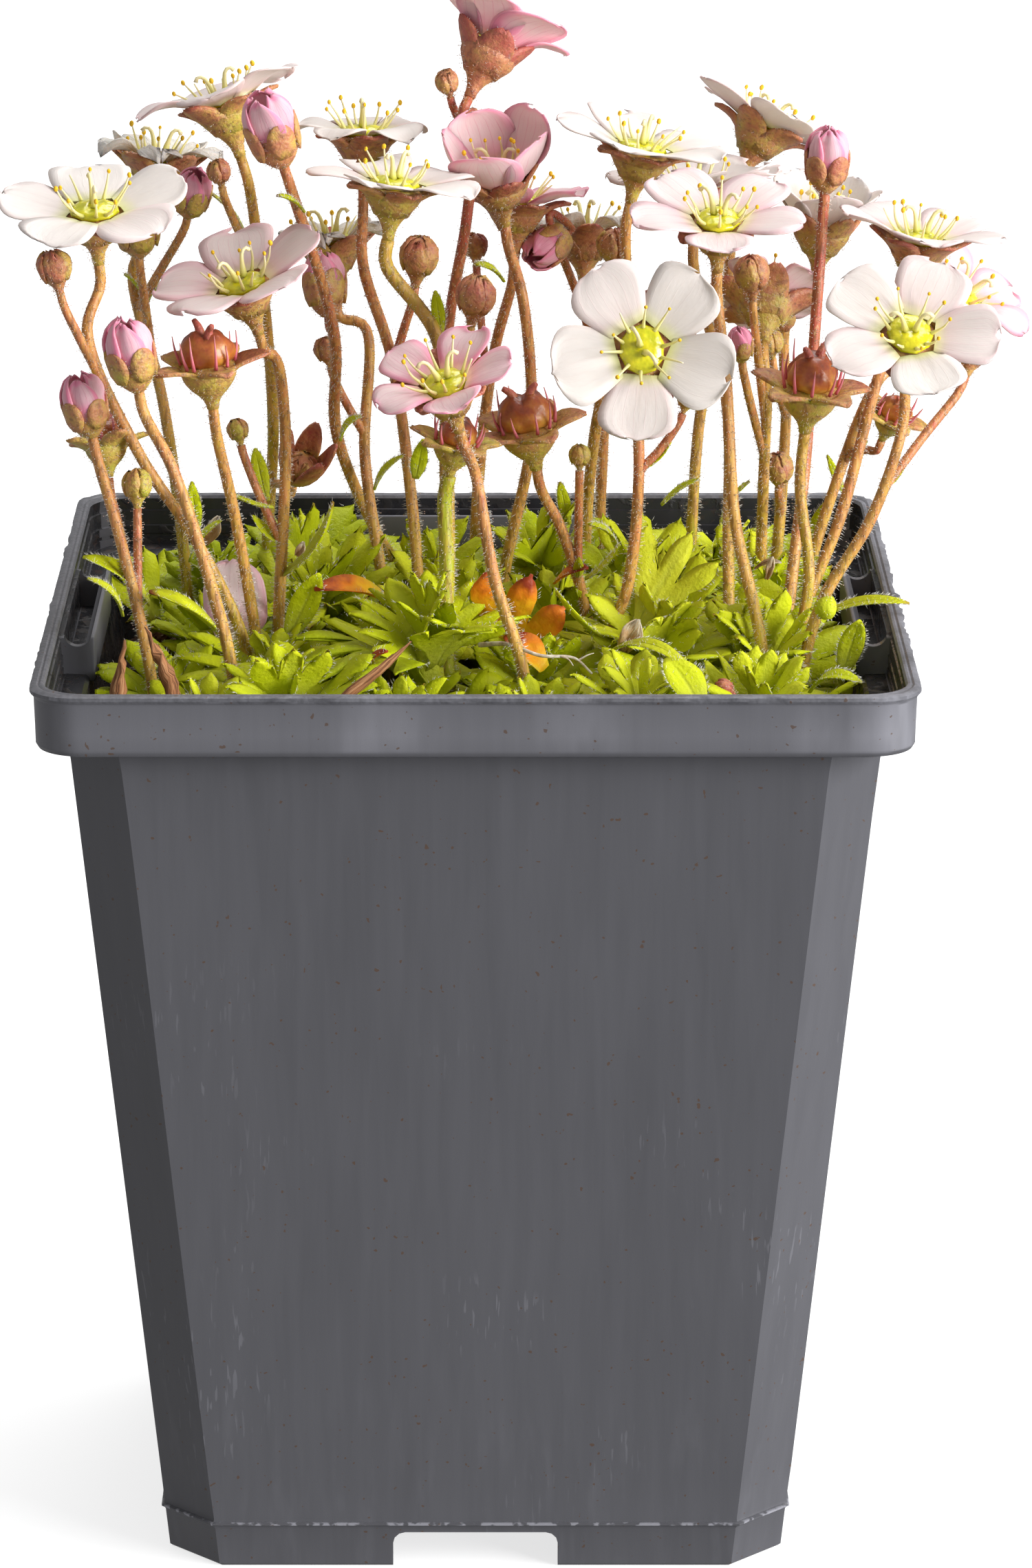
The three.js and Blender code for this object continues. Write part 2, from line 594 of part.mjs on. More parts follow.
// One wedge-shaped leaf with three lobes: outline as [along, across] and a drooping blade
const LEAF_OUTLINE = [
  [0, -0.1], [0.6, -0.5], [0.7, -0.17], [1, 0], [0.7, 0.17], [0.6, 0.5], [0, 0.1],
];

function leaf({ root, azimuth, rise, length, width, droop }) {
  const out = vec(Math.cos(azimuth), Math.sin(azimuth), 0);
  const side = vec(-out.y, out.x, 0);
  const at = (forward, across, raise) => {
    const slope = degrees(rise - droop * forward);
    return root.clone()
      .addScaledVector(out, length * forward * Math.cos(slope))
      .addScaledVector(side, width * across)
      .add(vec(0, 0, length * forward * Math.sin(slope) + raise - Math.abs(across) * 0.5));
  };
  const points = LEAF_OUTLINE.map(([forward, across]) => at(forward, across, 0));
  const count = points.length;
  points.push(at(0.5, 0, LEAF_THICKNESS / 2), at(0.5, 0, -LEAF_THICKNESS / 2));
  const triangles = [];
  for (let i = 0; i < count; i += 1) {
    const j = (i + 1) % count;
    triangles.push([i, j, count], [j, i, count + 1]);
  }
  return solidFrom(points, triangles);
}

// Patches of the cushion: the ground that each one keeps to, and the rosettes growing on it
const PATCHES = [
  { name: 'cushion_front_left', ground: [-38.5, -38.5, -13, -4],
    rosettes: [[-27, -30, 1], [-20, -14, 1.1], [-32, -14, 0.9], [-17, -29, 0.8]] },
  { name: 'cushion_front_middle', ground: [-13, -38.5, 13, -4],
    rosettes: [[-6, -14, 1], [6, -17, 1.1], [-5, -29, 0.7], [7, -31, 0.7]] },
  { name: 'cushion_front_right', ground: [13, -38.5, 38.5, -4],
    rosettes: [[20, -14, 1], [28, -25, 1.1], [19, -29, 0.8], [32, -12, 0.8]] },
  { name: 'cushion_back_left', ground: [-38.5, -4, -13, 38.5],
    rosettes: [[-27, 6, 1], [-19, 17, 1], [-30, 24, 1], [-21, 31, 1]] },
  { name: 'cushion_back_middle', ground: [-13, -4, 13, 38.5],
    rosettes: [[-3, 8, 1.15], [8, 5, 0.9], [-6, 22, 1], [7, 27, 1.1]] },
  { name: 'cushion_back_right', ground: [13, -4, 38.5, 38.5],
    rosettes: [[20, 6, 1], [29, 18, 1.05], [19, 22, 1], [27, 32, 0.9]] },
];

// The outer and inner leaves of a rosette
const TIERS = [
  { count: 4, start: 2.2, rise: 44, length: 10.5, width: 7.2, droop: 20 },
  { count: 3, start: 1, rise: 70, length: 9, width: 5, droop: 10 },
];

function rosette([x, y, size], ground, random) {
  const solids = [];
  for (const { count, start, rise, length, width, droop } of TIERS) {
    const offset = 360 * random();
    for (let i = 0; i < count; i += 1) {
      const azimuth = degrees(offset + (360 * i) / count + 14 * (random() - 0.5));
      const out = start * size;
      const shape = {
        root: vec(x + out * Math.cos(azimuth), y + out * Math.sin(azimuth), CORE_TOP - ROOT_SUNK),
        azimuth,
        rise: rise + 8 * (random() - 0.5),
        length: length * size,
        width: width * size,
        droop,
      };
      solids.push(leaf(keepOnGround(shape, ground)));
    }
  }
  return solids;
}

// The low core of a patch, which its leaves stand out of
function makeCore([x0, y0, x1, y1]) {
  const ring = (inset, cut, z) => [
    [x0 + inset + cut, y0 + inset], [x1 - inset - cut, y0 + inset],
    [x1 - inset, y0 + inset + cut], [x1 - inset, y1 - inset - cut],
    [x1 - inset - cut, y1 - inset], [x0 + inset + cut, y1 - inset],
    [x0 + inset, y1 - inset - cut], [x0 + inset, y0 + inset + cut],
  ].map(([x, y]) => vec(x, y, z));
  return loft([ring(0, 1, SOIL_TOP + GAP), ring(1, 1.5, CORE_TOP)]);
}

// Raises a leaf until its tip stays above its own patch
function keepOnGround(shape, [x0, y0, x1, y1]) {
  const margin = 0.4;
  for (let rise = shape.rise; rise < 84; rise += 4) {
    const reach = shape.length * Math.cos(degrees(rise - shape.droop));
    const x = shape.root.x + reach * Math.cos(shape.azimuth);
    const y = shape.root.y + reach * Math.sin(shape.azimuth);
    const inside = x > x0 + margin && x < x1 - margin && y > y0 + margin && y < y1 - margin;
    shape.rise = rise;
    if (inside) break;
  }
  return shape;
}

function makePatch({ ground, rosettes }, seed, bores) {
  const random = randomFrom(seed);
  const leaves = rosettes.flatMap((spot) => rosette(spot, ground, random));
  const grown = fuse([makeCore(ground), ...leaves]);
  const inset = GAP / 2 + 0.02;
  const [x0, y0, x1, y1] = ground;
  const plot = prism(
    rectangle(x0 + inset, y0 + inset, x1 - inset, y1 - inset), SOIL_TOP, SOIL_TOP + PLANT_ROOM);
  const room = prism(
    bodyRing(SOIL_TOP, WALL + GAP).map(({ x, y }) => [x, y]), SOIL_TOP, SOIL_TOP + PLANT_ROOM);
  return largestOf(grown.intersect(plot).intersect(room).subtract(bores));
}

const saxifrage = new THREE.Group();
const label = (index) => String(index + 1).padStart(2, '0');

const stalks = STALKS.map(growStalk);
const bores = wasm.Manifold.union(stalks.map(boreFor));
saxifrage.add(meshOf('pot', makePot(), MATERIALS.pot));
saxifrage.add(meshOf('soil', makeSoil().subtract(bores), MATERIALS.soil));
PATCHES.forEach((patch, index) => {
  saxifrage.add(meshOf(patch.name, makePatch(patch, PATCH_SEED + index, bores), MATERIALS.leaf));
});
stalks.forEach((stalk, index) => {
  saxifrage.add(meshOf(`stalk_${label(index)}`, stalk.solid, MATERIALS.stem));
  if (stalk.petal) {
    const surface = stalk.pink ? MATERIALS.pinkPetal : MATERIALS.petal;
    saxifrage.add(meshOf(`petals_${label(index)}`, makeCorolla(stalk, PETAL_SEED + index), surface));
  }
});

export default saxifrage;
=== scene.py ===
"""Dresses the fixed frame of a potted mossy saxifrage: petals, buds, hairy stalks, lobed leaves and moulded pot."""

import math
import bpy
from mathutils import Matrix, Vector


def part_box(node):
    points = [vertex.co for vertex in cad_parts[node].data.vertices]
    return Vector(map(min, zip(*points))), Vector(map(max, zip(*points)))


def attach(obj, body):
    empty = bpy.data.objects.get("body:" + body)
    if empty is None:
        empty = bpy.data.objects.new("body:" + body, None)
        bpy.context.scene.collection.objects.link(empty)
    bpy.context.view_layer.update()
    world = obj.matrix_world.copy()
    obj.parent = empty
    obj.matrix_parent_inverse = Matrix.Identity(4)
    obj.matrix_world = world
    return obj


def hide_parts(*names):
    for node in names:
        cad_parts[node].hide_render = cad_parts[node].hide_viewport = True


bl_info = {
    "name": "Potted mossy saxifrage",
    "version": (1, 0, 0),
    "blender": (4, 5, 0),
    "location": "View3D > Sidebar > Saxifrage",
    "description": "Grows the petals, leaves and hairs of a potted saxifrage round its frame",
    "category": "Object",
}

from random import Random

import bmesh
import bpy
import numpy as np
from bpy.props import FloatProperty, FloatVectorProperty, IntProperty, PointerProperty
from mathutils import Vector, noise

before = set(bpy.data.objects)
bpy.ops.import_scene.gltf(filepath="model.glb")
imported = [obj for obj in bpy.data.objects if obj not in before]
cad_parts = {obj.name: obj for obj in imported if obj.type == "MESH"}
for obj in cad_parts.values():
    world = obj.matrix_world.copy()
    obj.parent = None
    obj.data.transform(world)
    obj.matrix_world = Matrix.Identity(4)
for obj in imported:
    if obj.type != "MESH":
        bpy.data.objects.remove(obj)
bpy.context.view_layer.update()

MM = 0.001
POT_LOW, POT_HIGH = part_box("pot")
SOIL_LOW, SOIL_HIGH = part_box("soil")

# Sizes of the pot, in millimetres
POT_HEIGHT = POT_HIGH.z / MM
LIP_HALF = POT_HIGH.x / MM
BAND_HALF = 44.4
BAND_FOOT = 92.3
BODY_TOP_HALF = 41.4
BASE_HALF = 32.7
CORNER_CUT = 5.5
BAND_CORNER = 4.7
LUG_TOP = 97.4
UNDERSIDE = 5.0
FLOOR_THICKNESS = 1.2
SOIL_TOP = SOIL_HIGH.z / MM

# Sizes of the plant, in millimetres
STEM_FOOT = 79.0
HEAD_LEAD = 2.4
STEM_RADIUS = 0.6
PETAL_ROOT = 2.5
PETAL_SEAT = 0.3
CUSHION_TOP = 90.0

# The stalks: foot, route to below the head, the head's place and the way it faces, in millimetres.
# Ripe runs from a green stem at 0 to a red one at 1, and blush from a white flower to a pink one.
STALKS = [
    dict(foot=(-23, -11), route=[(-24, -12, 95), (-29, -13, 107), (-35, -14, 117), (-40, -15, 130)],
         ripe=0.6, blush=0.12, head=(-39, -15, 142), facing=(-0.05, -0.25, 1), petal=7.3, cup=12,
         sides=[dict(at=0.76, to=(-43, -18, 137), size=0.8, look='ball', bract=True)]),
    dict(foot=(-24, -25), route=[(-25, -25, 96), (-27, -25, 105), (-31, -25, 118)],
         ripe=0.62, head=(-35, -24, 129), facing=(-0.2, -0.1, 1), bud=1.05),
    dict(foot=(-22, -8), route=[(-23, -10, 95), (-25, -14, 110)],
         ripe=0.55, head=(-27.5, -17.5, 127), facing=(-0.1, -0.1, 1), spent=0.95),
    dict(foot=(-31, 22), route=[(-32, 21, 97), (-34, 19, 115), (-37, 18, 130)],
         ripe=0.5, blush=0.1, withered=True, head=(-34, 17, 141.5), facing=(0.1, 0.1, 1), petal=4.6, cup=35, flare=-10,
         sides=[dict(at=0.7, to=(-36, 10, 136), size=1, look='pink'), dict(at=0.8, to=(-30, 7, 140), size=0.8, look='pink')]),
    dict(foot=(-21, -2), route=[(-21, -3, 94), (-20, -5, 118), (-21, -8, 126)],
         ripe=0.62, blush=0.42, head=(-24, -10.5, 133.5), facing=(-0.3, -0.25, 1), petal=6.8, cup=22,
         sides=[dict(at=0.5, to=(-25, -4, 117), size=0.5, look='young', bract=True)]),
    dict(foot=(-22, 25), route=[(-23, 24, 96), (-22, 18, 113), (-23, 12, 131)],
         ripe=0.42, blush=0.22, head=(-26.5, 9, 149), facing=(-0.32, 0.15, 1), petal=6.8, cup=25, flare=-5,
         sides=[dict(at=0.78, to=(-27, 4, 143), size=0.55, look='ball'), dict(at=0.4, to=(-19, 13, 109), size=1, look='wilted')]),
    dict(foot=(-8, 27), route=[(-8, 26, 93), (-11, 22, 100), (-15, 13, 113), (-15, 4, 126)],
         ripe=0.8, head=(-21, -6, 149), facing=(-0.3, -0.2, 1), bud=1.15,
         sides=[dict(at=0.68, to=(-16, 8, 130), size=0.95, look='pink')]),
    dict(foot=(-9, 13), route=[(-10, 13, 95), (-12, 15, 110), (-12, 17, 124)],
         ripe=0.6, blush=0.12, withered=True, head=(-15.5, 18, 132.5), facing=(-0.1, 0.1, 1), petal=3.6, cup=40, flare=0,
         sides=[dict(at=0.66, to=(-16, 13, 122), size=0.6, look='ball')]),
    dict(foot=(-6, 3), route=[(-6, 4, 96), (-7, 5, 109), (-9, 6, 123), (-12, 10, 132)],
         ripe=0.7, blush=0.12, head=(-12, 14, 145), facing=(0, 0.05, 1), petal=5, cup=22, flare=-25,
         sides=[dict(at=0.68, to=(-6, 3, 134), size=0.95, look='ball')]),
    dict(foot=(-3, -7), route=[(-3, -6, 95), (-3, -5, 112), (-4, -4, 127)],
         ripe=0.38, blush=0.12, head=(-8.5, -3, 142.5), facing=(0.12, 0, 1), petal=6.6, cup=15, flare=-5, thick=0.75,
         sides=[dict(at=0.7, to=(0, -8, 132), size=0.95, look='ball', bract=True)]),
    dict(foot=(6, -25), route=[(5, -25, 96), (2, -25, 106), (0, -24, 117)],
         ripe=0.66, blush=0.8, head=(-3, -22, 125.5), facing=(-0.25, -0.35, 0.9), petal=5.2, cup=28, flare=5, pink=True),
    dict(foot=(-2, -15), route=[(-3, -15, 95), (-3, -14, 106)],
         ripe=0.06, head=(-2, -14, 118), facing=(0.2, -0.1, 1), spent=0.75, thick=0.8),
    dict(foot=(-3, 32), route=[(-3, 30, 95), (-3, 22, 122), (-1, 18, 135), (0, 16.5, 147)],
         ripe=0.92, blush=0.85, head=(1.5, 15, 154), facing=(0.4, 0.36, 0.84), petal=6.6, cup=56, flare=22, pink=True,
         sides=[dict(at=0.86, to=(-3, 13, 151), size=0.55, look='ball')]),
    dict(foot=(3, 17), route=[(3, 16, 95), (6, 11, 113), (5, 8, 129)],
         ripe=0.72, blush=0.78, head=(2.5, 7.5, 141.5), facing=(-0.12, -0.33, 0.93), petal=6.3, cup=52, flare=80, pink=True),
    dict(foot=(1, 36), route=[(0, 34, 96), (2, 29, 118)],
         ripe=0.8, blush=0.8, head=(4.5, 25, 135.5), facing=(0.05, 0.1, 1), petal=5.4, cup=22, flare=0, pink=True,
         sides=[dict(at=0.66, to=(0, 30, 130), size=0.6, look='ball')]),
    dict(foot=(13, 3), route=[(12, 2, 95), (9, -1, 106)],
         ripe=0.62, head=(5.5, -4, 117.5), facing=(-0.2, -0.2, 1), spent=1,
         sides=[dict(at=0.6, to=(11, -3, 114), size=0.5, look='young', bract=True)]),
    dict(foot=(13, -8), route=[(14, -9, 95), (16, -11, 102), (17, -13, 114)],
         ripe=0.7, blush=0.08, head=(17, -20, 129), facing=(0.05, -0.94, 0.34), petal=6.9, cup=15,
         sides=[dict(at=0.72, to=(22, -12, 122), size=0.45, look='young', bract=True)]),
    dict(foot=(12, 25), route=[(12, 24, 95), (13, 17, 112), (16, 10, 130)],
         ripe=0.58, blush=0.08, head=(17.5, 7, 144.5), facing=(0.2, -0.05, 1), petal=6.9, cup=20, flare=0),
    dict(foot=(14, 37), route=[(14, 36, 98), (14, 33, 118)],
         ripe=0.75, blush=0.1, withered=True, head=(12, 34, 130.5), facing=(0, 0.2, 1), petal=3.8, cup=38, flare=-10,
         sides=[dict(at=0.76, to=(8, 26, 131), size=0.9, look='pink', nod=True),
         dict(at=0.68, to=(15, 25, 131), size=0.8, look='ball')]),
    dict(foot=(31, -16), route=[(30, -16, 96), (27, -14, 110), (26, -13, 124)],
         ripe=0.6, blush=0.38, head=(25, -12, 140.5), facing=(0, -0.3, 1), petal=6.6, cup=16),
    dict(foot=(27, -6), route=[(27, -4, 93), (27, 2, 104), (27, 12, 117), (24, 18, 128)],
         ripe=0.55, blush=0.15, head=(23.5, 18, 138.5), facing=(0, 0.05, 1), petal=7, cup=20),
    dict(foot=(23, 31), route=[(24, 31, 96), (25, 32, 111), (28, 33, 127)],
         ripe=0.56, blush=0.14, head=(31.5, 32, 142.5), facing=(0.45, 0.27, 0.87), petal=6.6, cup=20),
    dict(foot=(31, 23), route=[(33, 22, 95), (34, 22, 113), (34, 21, 124)],
         ripe=0.5, blush=0.14, head=(37.5, 20, 134), facing=(0.1, -0.05, 1), petal=5.4, cup=58, flare=50,
         sides=[dict(at=0.66, to=(32, 17, 122), size=0.6, look='young'), dict(at=0.45, to=(33, 17, 108), size=0.75, look='ball')]),
    dict(foot=(32, -5), route=[(33, -4, 95), (35, 1, 112), (36, 3, 127)],
         ripe=0.95, head=(37, 4, 144), facing=(0.05, -0.1, 1), bud=0.95),
    dict(foot=(33, -18), route=[(34, -18, 94), (36, -18, 102), (41, -18, 111), (44, -17, 120)],
         ripe=0.6, blush=0.14, head=(44.5, -18.5, 130), facing=(0, -0.62, 0.78), petal=6.6, cup=15,
         sides=[dict(at=0.72, to=(52, -9, 127), size=0.95, look='ball', bract=True)]),
    dict(foot=(34, -11), route=[(34, -11, 95), (35, -11, 103), (34, -9, 112)],
         ripe=0.4, head=(35, -8, 122.5), facing=(0.1, -0.15, 1), spent=1),
    dict(foot=(31, 13), route=[(31, 13, 96), (31, 8, 110), (31, 4, 120)],
         ripe=0.45, blush=0.5, head=(31, 9.5, 128), facing=(0.05, 0.75, 0.65), petal=3.8, cup=20,
         sides=[dict(at=0.7, to=(28, 1, 125), size=0.55, look='pink'), dict(at=0.78, to=(29, -1, 133), size=0.85, look='ball')]),
    dict(foot=(-32, -20), route=[(-34, -21, 97), (-37, -21, 111)],
         ripe=0.66, head=(-40, -20, 123), facing=(-0.2, -0.1, 1), bud=0.95,
         sides=[dict(at=0.55, to=(-35, -17, 114), size=0.7, look='young', bract=True),
                dict(at=0.62, to=(-38.5, -12, 117.5), size=1.15, look='spent')]),
    dict(foot=(34, 1), route=[(35, 1, 95), (39, 3, 106), (44, 6, 124)],
         ripe=0.7, blush=0.22, head=(47, 6, 135), facing=(0.15, -0.02, 1), petal=6.6, cup=25),
    dict(foot=(33, 16), route=[(36, 16, 95), (39, 16, 106), (44, 18, 118)],
         ripe=0.6, blush=0.72, head=(52.5, 21, 126), facing=(0.5, -0.2, 0.8), petal=5.8, cup=30, pink=True,
         sides=[dict(at=0.62, to=(45, 12, 115), size=1, look='spent', bract=True)]),
]

# The patches of the cushion: the ground they cover, and rosettes as place, size and height on a stem
PATCHES = {
    "cushion_front_left": (
        (-38.5, -38.5, -13, -4),
        [(-27, -30, 0.9, 0), (-21, -14, 1.05, 1), (-32, -15, 0.8, 0), (-19, -27, 1.0, 2)]),
    "cushion_front_middle": (
        (-13, -38.5, 13, -4),
        [(-5, -17, 1.1, 6), (6, -14, 0.95, 1), (-8, -30, 0.85, 0), (6, -30, 0.9, 0)]),
    "cushion_front_right": (
        (13, -38.5, 38.5, -4),
        [(19, -10, 1.15, 3), (17, -28, 1.05, 1), (29, -29, 1.0, 2), (30, -13, 1.1, 3)]),
    "cushion_back_left": (
        (-38.5, -4, -13, 38.5),
        [(-28, 7, 1.0, 0), (-17, 14, 1.15, 2), (-29, 26, 1.0, 1), (-19, 31, 1.1, 2)]),
    "cushion_back_middle": (
        (-13, -4, 13, 38.5),
        [(-3, 8, 1.15, 2), (9, 4, 1.0, 2), (-5, 24, 1.1, 2), (7, 26, 1.2, 3)]),
    "cushion_back_right": (
        (13, -4, 38.5, 38.5),
        [(21, 6, 1.1, 2), (31, 12, 1.0, 3), (18, 22, 1.15, 2), (28, 31, 1.0, 1)]),
}

# Leaves on the stalks and among the rosettes: root, tip, half width, arch and how brown the tip is
STRAY_LEAVES = [
    ((-33.9, -19, 102), (-40.5, -21, 107.5), 1.4, 1.0, 0.2),
    ((-25.9, -18, 97.5), (-33.5, -24, 104.5), 1.9, 0.8, 1.0),
    ((-20.2, -4, 101.5), (-15, -7, 110), 1.3, -1.2, 0.8),
    ((-19.7, -12, 96.5), (-16.3, -14, 104), 1.5, -0.5, 0.0),
    ((-21.4, -5, 109), (-26, -8, 111.5), 0.5, -0.4, 0.5),
    ((-29, -13.5, 108.5), (-29.4, -15.5, 114.2), 0.75, 0.4, 0.1),
    ((-22.2, 0, 108.5), (-23.4, 1, 114), 0.9, 0.5, 0.1),
    ((-10.8, 5, 108.6), (-7.7, 4, 112.5), 0.7, 0.5, 0.2),
    ((-6.2, -15, 114.5), (-5.4, -17, 119), 0.85, 0.3, 0.0),
    ((-35.9, 18, 127), (-37.8, 16, 129.8), 0.55, 0.2, 0.3),
    ((-35.4, 18, 126.4), (-33.4, 16, 128.6), 0.8, 0.4, 0.2),
    ((-14.2, -4, 116), (-12, -5, 118.8), 0.8, 0.5, 0.2),
    ((-24.6, 10, 135.5), (-28, 8, 140), 0.5, 0.4, 0.6),
    ((-3.6, -3, 127.3), (-4.2, -4, 132), 0.7, 0.3, 0.2),
    ((3, 6, 131), (-0.2, 4, 133.2), 0.8, 0.5, 0.7),
    ((-17.8, -5, 140.5), (-20.6, -7, 142.6), 0.6, 0.4, 0.9),
    ((13.7, -14, 97), (8.4, -20, 103.6), 1.1, -0.6, 0.4),
    ((11.7, -4, 101), (15.2, -6, 105.2), 0.7, -0.5, 0.0),
    ((15.2, 2, 103), (12, 0, 106), 0.7, 0.6, 0.0),
    ((14.5, -20, 97.5), (21.8, -27, 97.4), 0.95, 1.4, 0.2),
    ((22.8, -37, 95.2), (19.4, -33, 99.8), 2.0, 0.6, 0.1),
    ((35.6, -18, 100.2), (44.8, -22, 102.8), 0.95, 1.0, 0.7),
    ((38.1, -20, 94.5), (39.7, -22, 101), 1.3, -1.0, 0.0),
    ((34.4, -28, 95), (39.4, -32, 97), 1.0, 1.3, 0.3),
    ((36.2, 18, 100), (38.9, 17, 105), 0.8, 0.5, 0.3),
    ((20.7, 30, 101), (24.8, 29, 104.2), 0.6, 0.3, 0.6),
    ((10.3, 25, 100), (9.3, 25, 104.8), 0.7, 0.4, 0.6),
    ((40.4, 20, 104.5), (38.4, 19, 109.2), 0.45, 0.4, 0.2),
    ((-37, -12, 99), (-40.5, -14, 103.5), 0.8, 0.8, 0.1),
    ((-31, 12, 99), (-27.5, 10, 104), 0.8, 0.5, 0.2),
    ((27, 22, 101), (30, 20, 106), 0.7, 0.4, 0.3),
]

# Leaves that have turned: root, tip, half width, arch, how far they have turned and whether they are lobed
TURNING_LEAVES = [
    ((-8, -8, 98.2), (-16.8, -14, 102.2), 2.0, 1.2, 0.0, False),
    ((2.4, -12, 95.2), (5.4, -16, 103.2), 2.9, 0.6, 0.0, True),
    ((7.0, -22, 95.6), (3.0, -20, 98.8), 1.9, 0.5, 0.5, False),
    ((8.5, 0, 99.5), (12.0, -2, 101.6), 1.1, 0.3, 0.8, False),
    ((16.2, -3, 100.5), (19.6, -6, 101.5), 0.8, 0.4, 1.0, False),
    ((-12, -24, 95.8), (-9, -27, 99), 0.9, 0.4, 0.9, False),
]

# Chips of bark on the compost: one end, the other, half width
BARK_CHIPS = [
    ((-37.2, -35.5, 90), (-35.6, -34, 102), 1.0),
    ((-30, -36, 92.5), (-33.6, -32.5, 103), 0.9),
    ((-13.8, -34.5, 95.8), (-6.6, -30, 100.8), 0.6),
    ((-36, 20, 88), (-33, 12, 91.5), 1.1),
    ((36.5, 26, 88.5), (34, 33, 91), 1.3),
    ((35.5, -33, 89), (37.4, -27, 92), 1.0),
]

# A dropped bud and a green one: middle, facing and size. Dry scraps: root, tip and half width
LOOSE_BUD = ((25.4, -33, 96.6), (-0.8, 0.1, 0.5), 0.42)
GREEN_BUD = ((36.3, -20.5, 102.0), 1.25)
DRY_SCRAPS = [
    ((15.2, -16.5, 96.2), (17.0, -17, 99.8), 1.2),
    ((-29.6, 18, 99.4), (-28.0, 17, 102.8), 0.8),
    ((-18.9, -6, 104.0), (-18.1, -6.4, 105.6), 0.45),
    ((30.0, 4, 100.0), (32.8, 3, 101.0), 0.5),
    ((31.2, 3, 99.2), (31.8, 2.5, 101.8), 0.4),
]

# A white root that lies over the leaves, and a fallen petal's root and tip
DRY_ROOT = [(0.4, -22, 98.4), (3.3, -24, 99), (6.7, -26, 98.3), (10.2, -25.5, 97.9), (12.0, -26.5, 96.5)]
FALLEN_PETAL = ((-25.2, -9, 94.8), (-25.6, 1.5, 102))


# Settings that a user would change

class PotSettings(bpy.types.PropertyGroup):
    """The moulded pot."""
    wall: FloatProperty(name="Wall", description="Thickness of the plastic", default=1.1 * MM, unit="LENGTH")
    ragged: FloatProperty(name="Ragged lip", description="How far the torn edge of the lip stands out",
                          default=0.36 * MM, unit="LENGTH")
    plastic: FloatVectorProperty(name="Plastic", description="Colour of the plastic", subtype="COLOR",
                                 default=(0.088, 0.088, 0.099), min=0, max=1)


class PlantSettings(bpy.types.PropertyGroup):
    """The leaves, stalks and flowers."""
    hair: FloatProperty(name="Hair", description="Length of the hairs on the stalks", default=0.6 * MM, unit="LENGTH")
    hairs_per_mm: FloatProperty(name="Hairs per mm", description="Hairs on each millimetre of stalk", default=27)
    leaf_count: IntProperty(name="Leaves", description="Leaves in a rosette", default=9)
    petal_thickness: FloatProperty(name="Petal thickness", description="Thickness of a petal",
                                   default=0.16 * MM, unit="LENGTH")
    white: FloatVectorProperty(name="White petal", description="Colour of the palest petals", subtype="COLOR",
                               default=(0.73, 0.66, 0.615), min=0, max=1)
    pink: FloatVectorProperty(name="Pink petal", description="Colour of the pinkest petals", subtype="COLOR",
                              default=(0.88, 0.27, 0.405), min=0, max=1)
    leaf: FloatVectorProperty(name="Leaf", description="Colour of a full-grown leaf", subtype="COLOR",
                              default=(0.54, 0.6, 0.009), min=0, max=1)


class StageSettings(bpy.types.PropertyGroup):
    """The floor, the lights and the camera."""
    floor: FloatVectorProperty(name="Floor", description="Colour of the floor", subtype="COLOR",
                               default=(0.5, 0.5, 0.5), min=0, max=1)
    glow: FloatProperty(name="Floor glow", description="How brightly the floor is lit from below", default=0.72)
    key: FloatProperty(name="Key light", description="Power of the main light", default=29, unit="POWER")
    top: FloatProperty(name="Top light", description="Power of the light overhead", default=43, unit="POWER")
    sky: FloatProperty(name="Sky", description="Strength of the light from all round", default=0.38)


# Shader maths

class Wire:
    """An output of a finish's nodes. Python's own signs on it add Math nodes."""

    def __init__(self, finish, socket):
        self.finish = finish
        self.socket = socket

    def maths(self, operation, *values):
        return self.finish.node("ShaderNodeMath", {"operation": operation}, dict(enumerate(values)))

    def __add__(self, other):
        return self.maths("ADD", self, other)

    def __radd__(self, other):
        return self.maths("ADD", other, self)

    def __sub__(self, other):
        return self.maths("SUBTRACT", self, other)

    def __rsub__(self, other):
        return self.maths("SUBTRACT", other, self)

    def __mul__(self, other):
        return self.maths("MULTIPLY", self, other)

    def __rmul__(self, other):
        return self.maths("MULTIPLY", other, self)

    def __pow__(self, other):
        return self.maths("POWER", self, other)

    def above(self, edge, soft):
        """0 below edge, rising smoothly to 1 over the next soft."""
        settings = {"interpolation_type": "SMOOTHSTEP"}
        values = {"Value": self, "From Min": edge, "From Max": edge + soft}
        return self.finish.node("ShaderNodeMapRange", settings, values)

    def wave(self):
        return self.maths("SINE", self)

    def size(self):
        return self.maths("ABSOLUTE", self)

    def part(self, name):
        """One part of a vector."""
        return self.finish.node("ShaderNodeSeparateXYZ", {}, {"Vector": self}, name)


